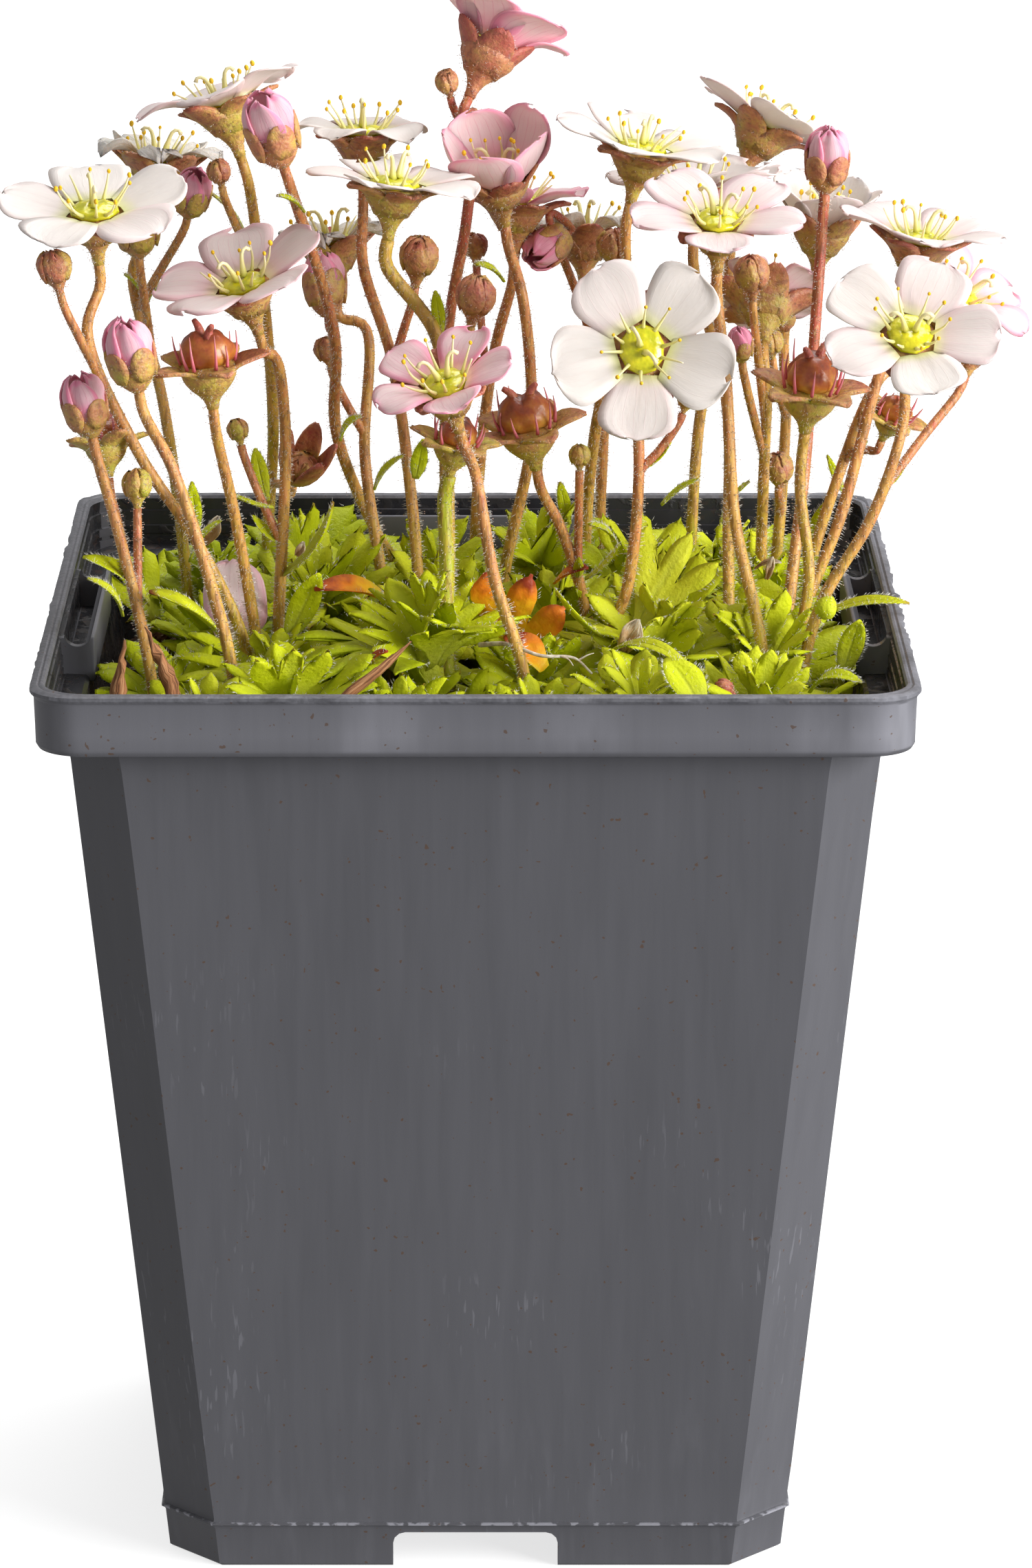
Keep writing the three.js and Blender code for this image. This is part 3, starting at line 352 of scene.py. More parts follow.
class Finish:
    """A material: one Principled shader, fed by expressions."""

    def __init__(self, name, roughness=0.5, specular=0.5, subsurface=0.0, glow=(1, 0.5, 0.3), coat=0.0, sheen=0.0):
        self.material = bpy.data.materials.new(name)
        self.material.use_nodes = True
        self.tree = self.material.node_tree
        self.shader = self.tree.nodes["Principled BSDF"]
        constants = {
            "Roughness": roughness,
            "Specular IOR Level": specular,
            "Subsurface Weight": subsurface,
            "Subsurface Radius": glow,
            "Subsurface Scale": 0.9 * MM,
            "Coat Weight": coat,
            "Coat Roughness": 0.2,
            "Sheen Weight": sheen,
        }
        for socket, value in constants.items():
            self.shader.inputs[socket].default_value = value

    def node(self, kind, settings, values, output=0):
        """A node with its settings, then the values or links of its sockets, as the wire of one output."""
        made = self.tree.nodes.new(kind)
        for name, value in settings.items():
            if name == "stops":
                self.set_stops(made.color_ramp, value)
            else:
                setattr(made, name, value)
        for name, value in values.items():
            self.feed(made.inputs[name], value)
        return Wire(self, made.outputs[output])

    def set_stops(self, ramp, stops):
        while len(ramp.elements) < len(stops):
            ramp.elements.new(0.5)
        for element, (position, color) in zip(ramp.elements, stops):
            element.position = position
            element.color = (*color, 1)

    def feed(self, socket, value):
        if isinstance(value, Wire):
            self.tree.links.new(value.socket, socket)
        elif socket.type == "RGBA":
            socket.default_value = (*value, 1)
        else:
            socket.default_value = value

    def surface(self, **inputs):
        names = {"color": "Base Color", "roughness": "Roughness", "normal": "Normal"}
        for name, value in inputs.items():
            self.feed(self.shader.inputs[names[name]], value)
        return self.material

    def spot(self, stretch=(1, 1, 1)):
        """The place on the object, stretched."""
        place = self.node("ShaderNodeTexCoord", {}, {}, "Object")
        return self.node("ShaderNodeMapping", {}, {"Vector": place, "Scale": stretch})

    def grown(self, name="grown", stretch=(1, 1, 1)):
        """The place on a petal, leaf or stem: across, along and a number of its own."""
        place = self.node("ShaderNodeAttribute", {"attribute_name": name}, {}, "Vector")
        return self.node("ShaderNodeMapping", {}, {"Vector": place, "Scale": stretch})

    def ripe(self):
        return self.node("ShaderNodeAttribute", {"attribute_name": "ripe"}, {}, "Fac")

    def noise(self, place, scale, detail=3.0, distortion=0.0):
        values = {"Vector": place, "Scale": scale, "Detail": detail, "Distortion": distortion}
        return self.node("ShaderNodeTexNoise", {}, values, "Fac")

    def mix(self, factor, low, high):
        values = {"Factor": factor, 6: low, 7: high}
        return self.node("ShaderNodeMix", {"data_type": "RGBA"}, values, 2)

    def shade(self, color, factor):
        """A colour made lighter or darker by a number near 1."""
        gray = self.node("ShaderNodeCombineXYZ", {}, {0: factor, 1: factor, 2: factor})
        return self.node("ShaderNodeVectorMath", {"operation": "MULTIPLY"}, {0: color, 1: gray})

    def ramp(self, factor, *stops):
        return self.node("ShaderNodeValToRGB", {"stops": stops}, {"Fac": factor})

    def bump(self, height, distance, strength=1.0):
        return self.node("ShaderNodeBump", {}, {"Height": height, "Distance": distance, "Strength": strength})


def plastic_finish(settings):
    finish = Finish("moulded plastic", roughness=0.4, specular=0.42)
    spot = finish.spot()
    height = spot.part("Z")
    streaks = finish.noise(finish.spot((620, 620, 7)), 1.0, 2.0, 0.3)
    broad = finish.noise(finish.spot((90, 90, 16)), 1.0, 2.0)
    side = spot.part("X")
    # Painted reflections: lighter blurry patches on the band's front stand for softboxes seen in the plastic, and the
    # band's right end is painted brighter where the key light falls.
    left_painted_reflection = side.above(-16 * MM, 4 * MM) * (1 - side.above(-6 * MM, 4 * MM))
    right_painted_reflection = side.above(5 * MM, 3 * MM) * (1 - side.above(13 * MM, 3 * MM))
    painted_reflection_cloud = finish.noise(finish.spot((160, 160, 60)), 1.0, 3.0).above(0.3, 0.4)
    painted_reflection = (left_painted_reflection + right_painted_reflection + side.above(26 * MM, 14 * MM) * 1.6) * painted_reflection_cloud
    lip = height.above((POT_HEIGHT - 1.0) * MM, 0.3 * MM)
    worn = finish.noise(spot, 1500.0, 4.0)
    on_band = height.above((BAND_FOOT + 0.4) * MM, 0.6 * MM)
    scratch_place = finish.spot((2600, 2600, 130))
    scuffed = finish.noise(spot, 55.0, 2.0).above(0.55, 0.15) * (1 - height.above(0.055, 0.02))
    scratches = finish.noise(scratch_place, 1.0, 1.0).above(0.64, 0.05) * scuffed
    # Lighter specks along the ledge of the foot.
    ledge = height.above(4.8 * MM, 0.1 * MM) * (1 - height.above(5.15 * MM, 0.15 * MM))
    ledge_specks = ledge * finish.noise(spot, 900.0, 2.0).above(0.48, 0.1)
    worn_foot = (1 - height.above(0.012, 0.014)) * finish.noise(finish.spot((500, 500, 90)), 1.0).above(0.5, 0.3)
    # The band is painted lighter than the body and carries the painted reflection patches; streaks, broad tone,
    # scratches and the worn foot are the plastic's own marks.
    value = 0.8 + streaks * 0.22 + broad * 0.2 + on_band * (0.5 + painted_reflection * 0.6) + scratches * 0.5 + worn_foot * 0.18
    color = finish.shade(tuple(settings.plastic), value + ledge_specks * 2.2 + lip * (worn * 1.5 - 0.95))
    grit = finish.noise(spot, 1500.0, 1.0).above(0.735, 0.02)
    color = finish.mix(grit * 0.7, color, (0.09, 0.045, 0.02))
    rough = 0.36 + streaks * 0.12 + painted_reflection * on_band * 0.16
    grain = finish.noise(spot, 5200.0, 2.0) * 0.25 + streaks + lip * worn * 4
    return finish.surface(color=color, roughness=rough, normal=finish.bump(grain, 0.03 * MM, 0.6))


def soiled_painted_shade_plastic_finish(settings):
    """The inside of the pot, glossy and splashed with compost, and darkened all over with painted shade."""
    finish = Finish("soiled plastic with painted shade", roughness=0.3, specular=0.5)
    spot = finish.spot()
    streaks = finish.noise(finish.spot((300, 300, 30)), 1.0, 3.0)
    splashed = finish.noise(spot, 420.0, 5.0, 0.4).above(0.53, 0.1)
    low = 1 - spot.part("Z").above(0.089, 0.01)
    rust = finish.noise(spot, 800.0, 4.0).above(0.6, 0.06)
    # Painted shade: the inner wall is the same plastic made far darker, standing for the shade inside the pot; the
    # splashes and stains below are real compost marks.
    color = finish.shade(tuple(settings.plastic), 0.12 + streaks * 0.42)
    color = finish.mix(splashed * (0.12 + low * 0.65), color, (0.03, 0.018, 0.01))
    color = finish.mix(rust * (0.1 + low * 0.4), color, (0.11, 0.05, 0.025))
    return finish.surface(color=color, roughness=0.26 + splashed * 0.4,
                          normal=finish.bump(streaks + splashed, 0.08 * MM, 0.7))


def compost_finish():
    finish = Finish("compost", roughness=0.9, specular=0.25)
    spot = finish.spot()
    crumbs = finish.noise(spot, 620.0, 6.0)
    fibres = finish.noise(finish.spot((300, 1900, 900)), 1.0, 4.0, 1.5)
    color = finish.ramp(crumbs * 0.7 + fibres * 0.3, (0.3, (0.006, 0.004, 0.003)), (0.5, (0.024, 0.014, 0.008)),
                        (0.62, (0.07, 0.036, 0.018)), (0.75, (0.13, 0.075, 0.04)))
    return finish.surface(color=color, normal=finish.bump(crumbs, 0.6 * MM))


def bark_finish():
    finish = Finish("bark", roughness=0.75, specular=0.3)
    fibres = finish.noise(finish.grown(stretch=(7, 1.2, 3)), 3.0, 6.0, 0.6)
    color = finish.ramp(fibres, (0.3, (0.08, 0.03, 0.013)), (0.5, (0.36, 0.15, 0.06)), (0.7, (0.62, 0.34, 0.16)))
    return finish.surface(color=color, normal=finish.bump(fibres, 0.25 * MM))


def leaf_finish(settings):
    finish = Finish("hairy leaf", roughness=0.5, specular=0.13, subsurface=0.14, glow=(0.6, 0.8, 0.05))
    place = finish.grown()
    across = place.part("X")
    along = place.part("Y")
    tone = place.part("Z")
    mottle = finish.noise(finish.spot(), 700.0, 3.0)
    full = tuple(settings.leaf)
    # The tone from 'grown' carries painted light and shade as well as each leaf's own tone: its dark low stop is the
    # painted shade of low and outer leaves.
    color = finish.ramp(tone * 0.8 + mottle * 0.3, (0.1, (0.29, 0.36, 0.004)), (0.5, full),
                        (0.95, (0.62, 0.64, 0.03)))
    color = finish.mix((1 - along.above(0.05, 0.5)) * 0.6, color, (0.48, 0.5, 0.07))
    rib = (1 - ((across - 0.5).size() * 2).above(0.0, 0.2)) * (1 - along.above(0.5, 0.45))
    color = finish.mix(rib * 0.3, color, (0.5, 0.53, 0.08))
    tip = along.above(0.88, 0.12) * finish.ripe()
    color = finish.mix(tip, color, (0.24, 0.07, 0.025))
    grain = finish.noise(finish.spot(), 2600.0, 2.0)
    rough = 0.42 + mottle * 0.2
    return finish.surface(color=color, roughness=rough, normal=finish.bump(grain + mottle - rib * 0.8, 0.16 * MM, 0.8))


def turning_leaf_finish():
    finish = Finish("turning leaf", roughness=0.5, specular=0.2, subsurface=0.3, glow=(0.8, 0.3, 0.05))
    along = finish.grown().part("Y")
    mottle = finish.noise(finish.spot(), 500.0, 4.0)
    color = finish.ramp(along + mottle * 0.9 - 0.4 + finish.ripe() * 0.5, (0.08, (0.56, 0.56, 0.02)),
                        (0.4, (0.8, 0.44, 0.01)), (0.75, (0.7, 0.2, 0.01)), (0.98, (0.28, 0.04, 0.012)))
    return finish.surface(color=color, normal=finish.bump(mottle, 0.4 * MM))


def petal_finish(name, settings, glow):
    finish = Finish(name, roughness=0.55, specular=0.3, subsurface=0.4, glow=glow, sheen=0.12)
    place = finish.grown()
    across = place.part("X")
    along = place.part("Y")
    blush = finish.ripe()
    mottle = finish.noise(finish.spot(), 260.0, 2.0)
    rim = ((across - 0.5).size() * 2).above(0.6, 0.4) + along.above(0.75, 0.25)
    base = 1 - along.above(0.05, 0.4)
    pinkness = blush * (0.28 + rim * 0.62 + base * 0.6 + mottle * 0.36) - 0.03
    color = finish.mix(pinkness, tuple(settings.white), tuple(settings.pink))
    sway = finish.noise(finish.grown(stretch=(2.2, 1.6, 9)), 2.0, 2.0) * 1.4
    line = ((across * 22 + sway).wave()).size()
    vein = (1 - line.above(0.0, 0.16)) * (1 - along.above(0.45, 0.5))
    fork = (1 - ((across * 44 + sway * 2).wave()).size().above(0.0, 0.2)) * along.above(0.35, 0.2)
    veins = vein + fork * (1 - along.above(0.7, 0.28)) * 0.55
    color = finish.mix(veins * (0.02 + blush * 0.5), color, (0.68, 0.15, 0.3))
    heart = (1 - along.above(0.03, 0.2)) * (1 - blush * 0.55)
    color = finish.mix(heart * 0.85, color, (0.66, 0.68, 0.14))
    thin_edge = ((across - 0.5).size() * 2).above(0.9, 0.1) + along.above(0.95, 0.05)
    color = finish.mix(thin_edge * 0.2, color, (0.7, 0.5, 0.42))
    ridges = veins * 0.22 + finish.noise(finish.grown(stretch=(5, 1.5, 5)), 3.0, 2.0)
    return finish.surface(color=color, normal=finish.bump(ridges, 0.12 * MM, 0.3))


def withered_petal_finish():
    finish = Finish("withered petal", roughness=0.6, specular=0.25, subsurface=0.3, glow=(1, 0.7, 0.5))
    creases = finish.noise(finish.grown(stretch=(6, 2, 7)), 3.0, 4.0, 0.5)
    along = finish.grown().part("Y")
    color = finish.ramp(creases * 0.6 + along * 0.4 - finish.ripe() * 0.45, (0.04, (0.45, 0.28, 0.14)), (0.2, (0.5, 0.4, 0.26)), (0.42, (0.78, 0.72, 0.64)),
                        (0.8, (0.84, 0.77, 0.72)), (1.0, (0.55, 0.35, 0.28)))
    return finish.surface(color=color, normal=finish.bump(creases, 0.3 * MM))


def calyx_finish():
    finish = Finish("calyx", roughness=0.5, specular=0.45, subsurface=0.2, glow=(0.7, 0.4, 0.1))
    place = finish.grown()
    blotch = finish.noise(finish.spot(), 520.0, 4.0)
    speckle = finish.noise(finish.spot(), 2100.0, 2.0)
    value = finish.ripe() * 0.8 + (blotch - 0.5) * 0.9 + (speckle - 0.5) * 0.5 + place.part("Y") * 0.14 - 0.05
    color = finish.ramp(value, (0.0, (0.5, 0.5, 0.06)), (0.32, (0.6, 0.42, 0.09)), (0.62, (0.56, 0.25, 0.11)),
                        (0.95, (0.44, 0.11, 0.08)))
    flecks = finish.noise(finish.spot(), 1500.0, 2.0).above(0.52, 0.14)
    color = finish.mix(flecks * 0.45, color, (0.2, 0.07, 0.045))
    grain = finish.noise(finish.spot(), 3300.0, 2.0)
    return finish.surface(color=color, roughness=0.36 + grain * 0.25, normal=finish.bump(grain + blotch, 0.13 * MM))


def stem_finish():
    finish = Finish("stem", roughness=0.42, specular=0.45, subsurface=0.2, glow=(0.8, 0.5, 0.15))
    streaks = finish.noise(finish.spot((2200, 2200, 160)), 1.0, 3.0)
    blotch = finish.noise(finish.spot(), 330.0, 3.0)
    value = finish.ripe() + (streaks - 0.5) * 0.7 + (blotch - 0.5) * 0.4
    color = finish.ramp(value, (0.0, (0.4, 0.42, 0.02)), (0.27, (0.56, 0.38, 0.045)), (0.5, (0.65, 0.35, 0.085)),
                        (0.72, (0.6, 0.25, 0.085)), (1.0, (0.5, 0.115, 0.07)))
    flecks = finish.noise(finish.spot((2100, 2100, 420)), 1.0, 3.0).above(0.5, 0.12)
    color = finish.mix(flecks * 0.52, color, (0.19, 0.09, 0.03))
    pale = finish.noise(finish.spot((3100, 3100, 1500)), 1.0, 2.0).above(0.6, 0.08)
    color = finish.mix(pale * 0.5, color, (0.72, 0.5, 0.24))
    return finish.surface(color=color, roughness=0.36 + streaks * 0.2, normal=finish.bump(streaks, 0.14 * MM, 0.9))


def hair_finish():
    finish = Finish("hair", roughness=0.35, specular=0.5, subsurface=0.2)
    along = finish.grown().part("Y")
    color = finish.mix(along.above(0.55, 0.4) * finish.ripe(), (0.9, 0.87, 0.78), (0.6, 0.24, 0.17))
    return finish.surface(color=color)


def ovary_finish():
    finish = Finish("nectary", roughness=0.2, specular=0.6, subsurface=0.4, glow=(0.6, 0.8, 0.05), coat=0.25)
    lumps = finish.noise(finish.spot(), 900.0, 2.0)
    color = finish.ramp(lumps, (0.3, (0.5, 0.5, 0.008)), (0.65, (0.76, 0.69, 0.02)))
    return finish.surface(color=color, normal=finish.bump(lumps, 0.25 * MM))


def filament_finish():
    finish = Finish("filament", roughness=0.4, subsurface=0.3, glow=(0.9, 0.8, 0.3))
    along = finish.grown().part("Y")
    color = finish.ramp(along, (0.0, (0.62, 0.6, 0.1)), (0.3, (0.78, 0.7, 0.3)), (1.0, (0.84, 0.72, 0.46)))
    return finish.surface(color=color)


def anther_finish():
    finish = Finish("anther", roughness=0.75, specular=0.2)
    grains = finish.noise(finish.spot(), 5000.0, 3.0)
    color = finish.ramp(grains, (0.3, (0.7, 0.36, 0.012)), (0.6, (0.92, 0.6, 0.04)))
    return finish.surface(color=color, normal=finish.bump(grains, 0.1 * MM))


def capsule_finish():
    finish = Finish("seed capsule", roughness=0.3, specular=0.5, subsurface=0.25, glow=(1, 0.3, 0.05), coat=0.2)
    blotch = finish.noise(finish.spot(), 480.0, 3.0)
    along = finish.grown().part("Y")
    color = finish.ramp(blotch - along * 0.5 + 0.27, (0.2, (0.13, 0.03, 0.016)), (0.42, (0.34, 0.075, 0.025)),
                        (0.6, (0.5, 0.17, 0.03)), (0.75, (0.6, 0.31, 0.045)))
    return finish.surface(color=color, roughness=0.25 + blotch * 0.2, normal=finish.bump(blotch, 0.3 * MM))


def style_finish():
    finish = Finish("spent style", roughness=0.4, subsurface=0.2, glow=(1, 0.3, 0.3))
    along = finish.grown().part("Y")
    color = finish.ramp(along, (0.0, (0.62, 0.13, 0.18)), (0.7, (0.72, 0.26, 0.3)), (1.0, (0.4, 0.12, 0.08)))
    return finish.surface(color=color)


def root_finish():
    finish = Finish("dry root", roughness=0.7, subsurface=0.2)
    grain = finish.noise(finish.spot(), 1400.0, 3.0)
    color = finish.ramp(grain, (0.3, (0.4, 0.3, 0.2)), (0.6, (0.76, 0.68, 0.56)))
    return finish.surface(color=color, normal=finish.bump(grain, 0.1 * MM))


# Shapes, modelled once in flat or round coordinates and bent into each copy

def clear_selection():
    if bpy.context.object and bpy.context.object.mode != "OBJECT":
        bpy.ops.object.mode_set(mode="OBJECT")
    bpy.ops.object.select_all(action="DESELECT")


class Form:
    """The points and faces of a shape that is bent into many copies."""

    def __init__(self, thing):
        mesh = thing.data
        self.points = np.zeros(len(mesh.vertices) * 3)
        mesh.vertices.foreach_get("co", self.points)
        self.points = self.points.reshape(-1, 3)
        self.loops = np.zeros(len(mesh.loops), int)
        mesh.loops.foreach_get("vertex_index", self.loops)
        self.totals = np.array([len(polygon.vertices) for polygon in mesh.polygons])
        bpy.data.objects.remove(thing)


def model_slab(columns, rows):
    """A thin closed blade: x across from -1 to 1, y along from 0 to 1, and z at -1 or 1 on its faces."""
    clear_selection()
    bpy.ops.mesh.primitive_grid_add(x_subdivisions=columns, y_subdivisions=rows, size=2)
    thing = bpy.context.object
    bpy.ops.object.mode_set(mode="EDIT")
    bpy.ops.mesh.select_all(action="SELECT")
    bpy.ops.mesh.extrude_region_move(TRANSFORM_OT_translate={"value": (0, 0, 2)})
    bpy.ops.mesh.select_all(action="SELECT")
    bpy.ops.mesh.normals_make_consistent(inside=False)
    bpy.ops.object.mode_set(mode="OBJECT")
    form = Form(thing)
    form.points[:, 1] = (form.points[:, 1] + 1) / 2
    form.points[:, 2] -= 1
    return form


def model_rod(sides, rings):
    """A closed rod of radius 1 from z = 0 to z = 1."""
    clear_selection()
    bpy.ops.mesh.primitive_circle_add(vertices=sides, radius=1, fill_type="TRIFAN")
    thing = bpy.context.object
    bpy.ops.object.mode_set(mode="EDIT")
    bpy.ops.mesh.select_all(action="SELECT")
    for _ in range(rings):
        bpy.ops.mesh.extrude_region_move(TRANSFORM_OT_translate={"value": (0, 0, 1 / rings)})
    bpy.ops.mesh.select_all(action="SELECT")
    bpy.ops.mesh.normals_make_consistent(inside=False)
    bpy.ops.object.mode_set(mode="OBJECT")
    return Form(thing)


def model_ball(divisions):
    clear_selection()
    bpy.ops.mesh.primitive_ico_sphere_add(subdivisions=divisions, radius=1)
    return Form(bpy.context.object)


def model_drop():
    """An eight-sided drop of radius 1."""
    clear_selection()
    bpy.ops.mesh.primitive_uv_sphere_add(segments=4, ring_count=2, radius=1)
    return Form(bpy.context.object)


def model_spike():
    """A three-sided hair of radius 1 and length 1."""
    clear_selection()
    bpy.ops.mesh.primitive_cone_add(vertices=3, radius1=1, radius2=0, depth=1, end_fill_type="NGON")
    form = Form(bpy.context.object)
    form.points[:, 2] += 0.5
    return form


def unit(vectors):
    vectors = np.asarray(vectors, float)
    return vectors / np.maximum(np.linalg.norm(vectors, axis=-1, keepdims=True), 1e-12)


class Growth:
    """Gathers the copies that become the one mesh of a piece. Places are in millimetres."""

    def __init__(self, finishes):
        self.finishes = list(finishes)
        self.points = []
        self.loops = []
        self.totals = []
        self.grown = []
        self.ripe = []
        self.slots = []
        self.count = 0

    def add(self, form, points, finish, grown=None, ripe=0.0):
        size = len(points)
        self.points.append(points)
        self.loops.append(form.loops + self.count)
        self.totals.append(form.totals)
        self.grown.append(np.zeros((size, 3)) if grown is None else grown)
        self.ripe.append(np.full(size, ripe) if np.isscalar(ripe) else ripe)
        self.slots.append(np.full(len(form.totals), self.finishes.index(finish)))
        self.count += size

    def hairs(self, form, roots, directions, lengths, radius, finish, ripe=0.0):
        """A spike at each root, all in one step."""
        count = len(roots)
        if not count:
            return
        directions = unit(directions)
        aside = unit(np.cross(directions, (0.31, 0.52, 0.79)))
        beyond = np.cross(directions, aside)
        x, y, z = form.points.T
        spread = radius * (x[None, :, None] * aside[:, None, :] + y[None, :, None] * beyond[:, None, :])
        rise = directions[:, None, :] * (z[None, :] * np.asarray(lengths)[:, None])[:, :, None]
        points = (roots[:, None, :] + spread + rise).reshape(-1, 3)
        many = Copies(form, count)
        grown = np.zeros((len(points), 3))
        grown[:, 1] = np.tile(z, count)
        self.add(many, points, finish, grown, ripe)

    def finish_piece(self, name, finishes, slot, *nodes):
        """The gathered mesh as an object, which rides on the pot and stands for the given nodes."""
        mesh = bpy.data.meshes.new(name)
        points = np.concatenate(self.points) * MM
        loops = np.concatenate(self.loops)
        totals = np.concatenate(self.totals)
        mesh.vertices.add(len(points))
        mesh.vertices.foreach_set("co", points.ravel())
        mesh.loops.add(len(loops))
        mesh.loops.foreach_set("vertex_index", loops.astype(np.int32))
        mesh.polygons.add(len(totals))
        starts = np.concatenate([[0], np.cumsum(totals)[:-1]])
        mesh.polygons.foreach_set("loop_start", starts.astype(np.int32))
        mesh.polygons.foreach_set("material_index", np.concatenate(self.slots).astype(np.int32))
        mesh.update(calc_edges=True)
        mesh.shade_smooth()
        mesh.attributes.new("grown", "FLOAT_VECTOR", "POINT").data.foreach_set(
            "vector", np.concatenate(self.grown).ravel().astype(np.float32))
        mesh.attributes.new("ripe", "FLOAT", "POINT").data.foreach_set(
            "value", np.concatenate(self.ripe).astype(np.float32))
        for finish in self.finishes:
            mesh.materials.append(finishes[finish])
        thing = bpy.data.objects.new(name, mesh)
        bpy.context.scene.collection.objects.link(thing)
        stand_in(thing, slot, *nodes)
        return thing


class Copies:
    """The faces of many copies of a form whose points follow each other."""

    def __init__(self, form, count):
        size = len(form.points)
        self.loops = (form.loops[None, :] + size * np.arange(count)[:, None]).ravel()
        self.totals = np.tile(form.totals, count)


def stand_in(thing, slot, *nodes):
    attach(thing, "root")
    if nodes:
        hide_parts(*nodes)


# Curves

def smooth_route(points, step=0.9):
    """Points at even steps along a smooth curve through the given ones."""
    points = [np.asarray(point, float) for point in points]
    points = [2 * points[0] - points[1], *points, 2 * points[-1] - points[-2]]
    line = []
    for before, start, end, after in zip(points, points[1:], points[2:], points[3:]):
        gaps = [max(np.linalg.norm(b - a) ** 0.5, 1e-4) for a, b in ((before, start), (start, end), (end, after))]
        leave = (start - before) / gaps[0] - (end - before) / (gaps[0] + gaps[1]) + (end - start) / gaps[1]
        reach = (end - start) / gaps[1] - (after - start) / (gaps[1] + gaps[2]) + (after - end) / gaps[2]
        leave, reach = leave * gaps[1], reach * gaps[1]
        for t in np.linspace(0, 1, 24, endpoint=False):
            line.append(start + leave * t + (3 * (end - start) - 2 * leave - reach) * t ** 2
                        + (2 * (start - end) + leave + reach) * t ** 3)
    line.append(points[-2])
    return even_steps(np.array(line), step)


def even_steps(line, step):
    lengths = np.concatenate([[0], np.cumsum(np.linalg.norm(np.diff(line, axis=0), axis=1))])
    count = max(3, int(round(lengths[-1] / step)) + 1)
    marks = np.linspace(0, lengths[-1], count)
    return np.stack([np.interp(marks, lengths, line[:, axis]) for axis in range(3)], axis=1)


def carried_frames(line):
    """Two directions square to a line at each of its points, carried along it without twist."""
    heading = unit(np.gradient(line, axis=0))
    least = np.zeros(3)
    least[2 - int(np.argmin(np.abs(heading[0])[::-1]))] = 1
    aside = unit(np.cross(heading[0], np.cross(heading[0], least)))
    asides = []
    for direction in heading:
        aside = unit(aside - direction * aside.dot(direction))
        asides.append(aside)
    asides = np.array(asides)
    return heading, asides, np.cross(heading, asides)


def along_line(values, share):
    """The values at a share of the way along a line of points."""
    marks = np.linspace(0, 1, len(values))
    return np.stack([np.interp(share, marks, values[:, axis]) for axis in range(values.shape[1])], axis=-1)


class HeadFrame:
    """Where a head sits: its middle, the way it faces and two directions square to that."""

    def __init__(self, head, facing, aside):
        self.head = np.asarray(head, float)
        self.facing = unit(facing)
        self.aside = unit(aside - self.facing * np.dot(aside, self.facing))
        self.beyond = np.cross(self.facing, self.aside)

    def out(self, turn):
        return np.multiply.outer(np.cos(turn), self.aside) + np.multiply.outer(np.sin(turn), self.beyond)

    def at(self, turn, out, height):
        turn, out, height = np.broadcast_arrays(turn, out, height)
        return self.head + self.out(turn) * out[..., None] + np.multiply.outer(height, self.facing)


class Blade:
    """Where a blade grows: its root, the way it runs out and the way up."""

    def __init__(self, root, outward, up):
        self.root = np.asarray(root, float)
        self.outward = unit(outward)
        self.up = unit(np.asarray(up) - self.outward * np.dot(up, self.outward))
        self.aside = np.cross(self.outward, self.up)

    def points(self, x, y, z):
        return (self.root + np.multiply.outer(x, self.aside) + np.multiply.outer(y, self.outward)
                + np.multiply.outer(z, self.up))


def bend_slab(form, surface, thickness, lobes=0):
    """The points of a slab laid on a surface of across and along. Lobes of a leaf are thin at their margins."""
    across, along, face = form.points.T
    middle = surface(across, along)
    if lobes:
        aside = np.where(along < NOTCH_PLACE, across, lobe_places(across, lobes)[1] / 0.62)
        thickness = thickness * (1 - 0.72 * np.clip(np.abs(aside), 0, 1) ** 2.5)
    return middle + surface_normals(surface, across, along) * (face * thickness / 2)[:, None]


def surface_normals(surface, across, along, step=2e-3):
    sideways = surface(across + step, along) - surface(across - step, along)
    forward = surface(across, along + step) - surface(across, along - step)
    return unit(np.cross(sideways, forward))


def slab_places(form, tone):
    across, along, _ = form.points.T
    return np.stack([across / 2 + 0.5, along, np.full(len(across), tone)], axis=1)


def bend_rod(form, line, radii):
    """The points of a rod bent along a line, with its radius at each place."""
    x, y, share = form.points.T
    _, asides, beyonds = carried_frames(line)
    radius = np.interp(share, np.linspace(0, 1, len(radii)), radii)
    around = along_line(asides, share) * x[:, None] + along_line(beyonds, share) * y[:, None]
    return along_line(line, share) + around * radius[:, None]


def rod_places(form, tone, start=0.0, end=1.0):
    x, y, share = form.points.T
    turn = np.arctan2(y, x) / math.tau + 0.5
    return np.stack([turn, start + (end - start) * share, np.full(len(x), tone)], axis=1)


def turn_rod(form, base, profile, shape=None):
    """The points of a rod turned to a profile of (height, radius) pairs about a head's axis."""
    x, y, share = form.points.T
    outline = smooth_route([(height, radius, 0) for height, radius in profile], 0.08)
    height, radius, _ = along_line(outline, share).T
    turn = np.arctan2(y, x)
    radius = np.maximum(radius, 0.02) * np.hypot(x, y)
    if shape:
        radius, height = shape(turn, share, radius, height)
    return base.at(turn, radius, height)


# Flowers

def ease(value):
    value = np.clip(value, 0, 1)
    return value * value * (3 - 2 * value)


def petal_half_width(along, waist=0.62):
    body = 0.42 + 0.58 * np.sin(np.clip(along / waist, 0, 1) * math.pi / 2) ** 1.25
    tip = np.sqrt(np.clip(1 - (np.clip(along - waist, 0, None) / (1.012 - waist)) ** 2.5, 0.004, 1))
    return body * tip


